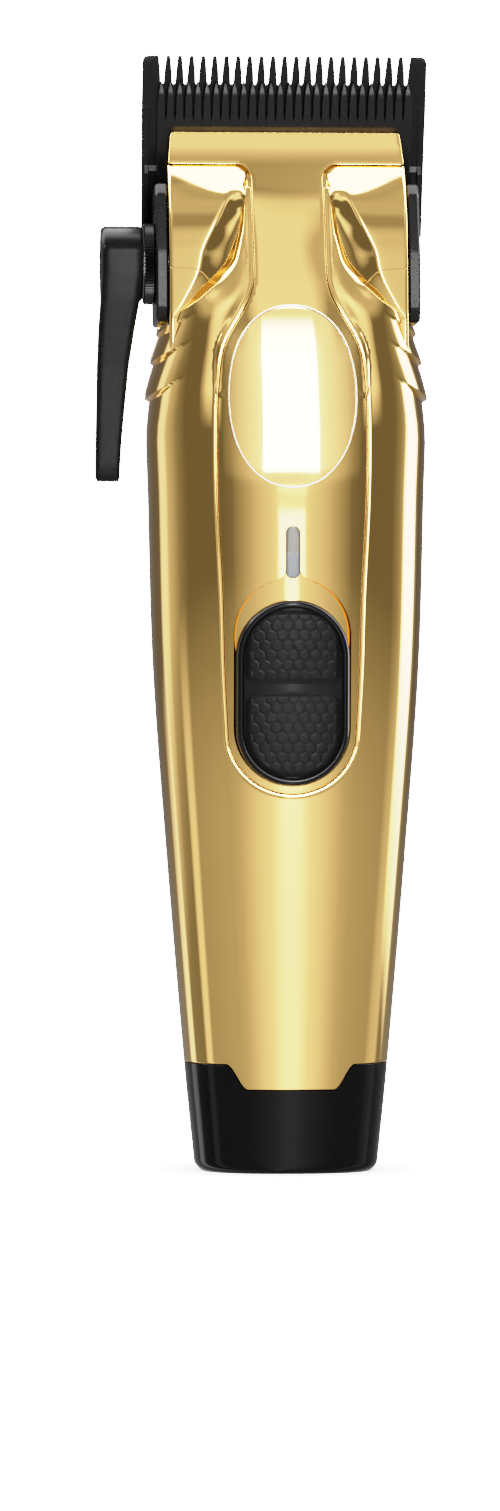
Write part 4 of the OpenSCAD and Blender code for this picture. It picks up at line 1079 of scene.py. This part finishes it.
def cap_grid():
    cols = np.linspace(0, 360, 321)[:-1]
    x = np.abs(body_at(cols, CAP)[:, 0])
    top = np.where(cols > 180, CAP - 4 * (1 - ease((x - 7.1) / 3.4)), CAP)
    foot = FOOT - FOOT * np.cos(np.radians(np.linspace(0, 90, 12)))
    rows = []
    for z in np.concatenate([foot, np.linspace(2.0, 12.5, 22)]):
        rows.append(body_at(cols, z, math.sqrt(FOOT**2 - max(FOOT - z, 0) ** 2) - FOOT))
    rows += [body_at(cols, mixed(12.5, top - 0.06, s)) for s in np.linspace(0, 1, 14)[1:]]
    for t in np.linspace(0, math.pi / 2, 5)[1:]:
        rim = body_at(cols, top - 0.06, -0.12 * (1 - math.cos(t)))
        rows.append(rim + [0, 0, 0.12 * math.sin(t) - 0.06])
    for z in (top, 2.6):
        inner = body_at(cols, top, -1.5)
        inner[:, 2] = z
        rows.append(inner)
    return rows


# the inlet, the stand's two contacts and two screws
openings = [(2, (0.0001, 0, 0), 1.65, 3.5, 2.85)]
openings += [(2, (x, 0, 0), 1.25, 3.5, 0) for x in (-9, 9)]
openings += [(2, (0, y, 0), 2.1, 1.2, 0) for y in (-8, 8)]
make_object("base_cap", drilled(ring_mesh(cap_grid()), openings), "housing", "cap_gloss", "end_cap", 50)

# ---- Blades ----


def in_blade(p):
    return leaned(p, HEEL_Y, HEEL_Z, TILT)


def flat_solid(loop, front, back, bevel=0.06):
    """An outline in x and z with its front and back depths given as functions of z, and small bevels."""
    loop = ccw(loop)
    k = len(loop)
    v2, tris, where = triangulate(loop, [(i, (i + 1) % k) for i in range(k)], 1)
    rim = [where[i] for i in range(k)]
    v2[rim] = loop_offset(loop, -bevel)
    ef, eb = front(loop[:, 1]) + bevel, back(loop[:, 1]) - bevel
    thin = eb < ef + 0.01
    middle = (ef + eb)[thin] / 2
    ef[thin], eb[thin] = middle - 0.005, middle + 0.005
    (x, z), (rim_x, rim_z) = v2.T, loop.T
    verts = np.concatenate([stack(x, front(z), z), stack(x, back(z), z), stack(rim_x, ef, rim_z),
                            stack(rim_x, eb, rim_z)])
    n = len(v2)
    faces = [tuple(t) for t in tris] + [tuple(n + i for i in t[::-1]) for t in tris]
    lines = [rim, range(2 * n, 2 * n + k), range(2 * n + k, 2 * n + 2 * k), [n + i for i in rim]]
    for a, b in zip(lines, lines[1:]):
        faces += [(a[i], a[i - 1], b[i - 1], b[i]) for i in range(k)]
    return verts, faces


def mirrored(x, flank, middle=()):
    """Points from right to left with a flank on each side of x."""
    left = [[x - d, z] for d, z in reversed(flank)]
    return [[x + d, z] for d, z in flank] + [[x, z] for z in middle] + left


FIX_PITCH, FIX_TEETH, FIX_W = 1.867, 21, 45.6


def fixed_loop():
    half, root = FIX_W / 2, FIX_LEN - 4.9
    side = [[half - 1.6, 0], [half - 0.6, 0.5], [half - 0.25, 2.0], [half, root - 4], [half, FIX_LEN - 0.9],
            [half - 0.25, FIX_LEN - 0.25], [half - 0.9, FIX_LEN]]
    flank = [(0.68, FIX_LEN), (0.60, FIX_LEN - 0.4), (0.40, FIX_LEN - 2.4), (0.30, root + 0.5),
             (0.2, root + 0.15)]
    gaps = []
    for i in range(FIX_TEETH, -1, -1):
        gaps += mirrored((i - FIX_TEETH / 2) * FIX_PITCH, flank, [root])
    return np.array(side + gaps + [[-x, z] for x, z in reversed(side)])


def fixed_front(z):
    return 0.42 * ease((z - (FIX_LEN - 1.4)) / 1.4)


def fixed_back(z):
    return 3.0 - 2.2 * np.clip((z - 18) / (FIX_LEN - 18), 0, 1) ** 1.15


CUT_TEETH, CUT_W, CUT_TIP = 28, 40.8, 28.0
CUT_HEEL = CUT_TIP - 16


def cutter_loop():
    half, root = CUT_W / 2, CUT_TIP - 6.1
    pitch = (CUT_W - 1.2) / (CUT_TEETH - 1)
    flank = [(0.64, root + 1.2), (0.60, CUT_TIP - 3.0), (0.52, CUT_TIP - 1.9), (0.36, CUT_TIP - 0.9),
             (0.12, CUT_TIP - 0.05)]
    points = [[half - 1, CUT_HEEL], [half, CUT_HEEL + 1]]
    for i in range(CUT_TEETH - 1, -1, -1):
        x = (i - (CUT_TEETH - 1) / 2) * pitch
        points += mirrored(x, flank) + ([[x - pitch / 2, root]] if i else [])
    return np.array(points + [[-half, CUT_HEEL + 1], [-half + 1, CUT_HEEL]])


def cutter_front(z):
    base = -2.25 + 0.45 * (z < CUT_TIP - 8.05)
    slope = np.clip((z - (CUT_TIP - 6.6)) / 6.6, 0, 1)
    return base + 0.35 * slope + 0.9 * np.clip((z - (CUT_TIP - 1.5)) / 1.5, 0, 1)


v, f = flat_solid(cutter_loop(), cutter_front, lambda z: np.full(len(z), -0.06), bevel=0.09)
make_object("blade_cutter", (in_blade(v), f), "cutter_set", "cutter_dark", "cutter", 25)

# ---- Side plates, lever ----


def bevelled_prism(loop, x0, x1, bevel):
    """An outline in y and z, extruded along x with bevelled rims."""
    loop = ccw(np.asarray(loop, float))
    step = math.copysign(bevel, x1 - x0)
    rings = [(x0, -bevel), (x0 + step, 0), (x1 - step, 0), (x1, -bevel)]
    return ring_mesh([stack(x, *loop_offset(loop, d).T) for x, d in rings], flip=x1 < x0)


def plate_back(z):
    return HEEL_Y - (z - HEEL_Z) * math.tan(TILT) - 0.45


# a side rib and two stepped ledges: depth, lower end, the slope at the upper end, left and right, bevel
LEDGES = [(0.9, 1.5, 13, 14.4, 21.65, 22.4, 0.08), (0.3, 2.5, 13.2, 14.1, 21.62, 22.7, 0.05),
          (0.14, 12, 23.4, 23.9, 21.62, 22.72, 0.05)]


def ledges(sign):
    """The raised strips at one side of the fixed blade."""
    parts = []
    for depth, z0, z1, top, x0, x1, bevel in LEDGES:
        shape = [(0.4, z0), (-depth, z0), (-depth, z1), (0, top), (0.4, top)]
        parts.append(bevelled_prism(shape, sign * x0, sign * x1, bevel))
    return parts


blade_blank = flat_solid(fixed_loop(), fixed_front, fixed_back)
blade_plate = drilled(blade_blank, [(1, (x, 3, 6.2), 3.1, 1.2, 0) for x in (-9, 9)])
# strips that carry the lower ledge's edge inwards, flush with the plate so that the cutter clears them; their
# lighter grey is a painted highlight
strip = [(0.3, 13.2), (-0.045, 13.2), (-0.045, 14.1), (0.3, 14.1)]
strips = [bevelled_prism(strip, sign * 20.4, sign * 21.7, 0.02) for sign in (1, -1)]
v, f = join([blade_plate] + ledges(1) + ledges(-1) + strips)
first_strip = len(f) - sum(len(faces) for _, faces in strips)
blade = make_object("blade_fixed", (in_blade(v), f), "blade_set", "blade_black", "fixed_blade", 25)
blade.data.materials.append(MATS["worn_edge"])
# upward-facing faces at the blade's sides, and the strips, take the lighter grey: a painted highlight
for poly in blade.data.polygons:
    painted_highlight = abs(poly.center.x) > 20.9 * MM and poly.normal.z > 0.5 and poly.center.z < 172 * MM
    poly.material_index = int(painted_highlight or poly.index >= first_strip)

side_corners = [
    [-7.5, 135], [7.5, 135], [9.5, 139], [plate_back(147), 147], [plate_back(157.4), 157.4], [-3.2, 157.4],
    [-5, 155.5], [-8.2, 146], [-9, 137]]
side_shape = round_corners(side_corners, [1.0, 1.0, 1.5, 3, 0.5, 0.8, 2, 6, 1.2], 5)
for name, side in (("right", 1), ("left", -1)):
    screws = [(0, (side * 21, y, z), 1.9, 0.8, 0) for y, z in ((-3.4, 153.5), (5, 152))]
    mesh = drilled(bevelled_prism(side_shape, side * 19.12, side * 21.0, 0.3), screws)
    make_object("plate_" + name, mesh, "housing", "side_black", name + "_side_plate", 30)

LEV_Z = 144.7


def lathe_x(profile, count, radius=1.0):
    """Rings about the lever's axis; the profile has each one's x and its share of the radius."""
    a = np.linspace(0, 2 * math.pi, count, endpoint=False)
    return [stack(x, k * radius * np.cos(a), LEV_Z + k * radius * np.sin(a)) for x, k in profile]


hub = [(-22.95, 5.6), (-23.2, 5.9), (-23.5, 6.0), (-28.9, 6.0), (-29.3, 5.85), (-29.6, 5.5), (-29.6, 3.2),
       (-28.6, 3.1), (-28.5, 0.01)]
ARM = np.array([  # z, left x, right x, front y, back y
    [109.7, -30.35, -27.0, -7.7, -5.3], [110.3, -30.65, -26.8, -8.0, -5.0], [112, -30.65, -26.75, -8.1, -4.9],
    [116, -30.6, -26.5, -8.1, -4.9], [122, -30.5, -25.95, -8.1, -4.8], [128, -30.4, -25.35, -8.1, -4.6],
    [134, -30.15, -24.4, -8.2, -4.4], [139, -29.8, -23.5, -8.3, -4.2], [143, -29.6, -22.95, -8.3, -4.0],
    [146.4, -29.6, -22.95, -8.2, -4.0], [147.1, -29.4, -22.95, -7.9, -4.2]])


def arm():
    """The thumb arm: rounded sections that narrow downwards."""
    z = spaced((147.1, 146.4, 3), (146.4, 110.3, 60), (110.3, 109.7, 4))[:, None]
    left, right, front, back = (np.interp(z, ARM[:, 0], ARM[:, k]) for k in range(1, 5))
    c, s = oval(np.linspace(0, 2 * math.pi, 72, endpoint=False), 0.28)
    return stack((left + right) / 2 + (right - left) / 2 * c, (front + back) / 2 + (back - front) / 2 * s, z)


mesh = join([ring_mesh(lathe_x(hub, 96)), ring_mesh(arm(), flip=True)])
# the lever's own reflection would put a broad black band on the casing beside it
make_object("lever", mesh, "lever", "lever_black", "taper_lever", 35).visible_glossy = False

KNURLS = 72
wave = np.sin(KNURLS * np.linspace(0, 2 * math.pi, KNURLS * 4, endpoint=False))
knurled = 6.28 + 0.16 * np.sign(wave) * np.abs(wave) ** 0.5
ring = lathe_x([(-21.07, 0.97), (-21.25, 1.0), (-22.65, 1.0), (-22.84, 0.97)], KNURLS * 4, knurled)
make_object("knurled_ring", ring_mesh(ring), "housing", "side_black", "detent_ring", 30)

# ---- Finishes of the CAD pieces that stay ----

slots = {s["node"]: s["material_slot"] for s in frame["record"]["subparts"]}
for node, obj in frame["nodes"].items():
    finish = MATS[slots[node]]
    if not obj.material_slots:
        obj.data.materials.append(finish)
    for place in obj.material_slots:
        place.material = finish

# ---- Floor ----

FLOOR = 6.0  # half of its width, in metres
floor_mesh = bpy.data.meshes.new("floor")
corners = [(-FLOOR, -FLOOR, 0), (FLOOR, -FLOOR, 0), (FLOOR, FLOOR, 0), (-FLOOR, FLOOR, 0)]
floor_mesh.from_pydata(corners, [], [(0, 1, 2, 3)])
floor_mesh.materials.append(floor_mat)
floor = bpy.data.objects.new("floor", floor_mesh)
scene.collection.objects.link(floor)
floor.visible_glossy = False
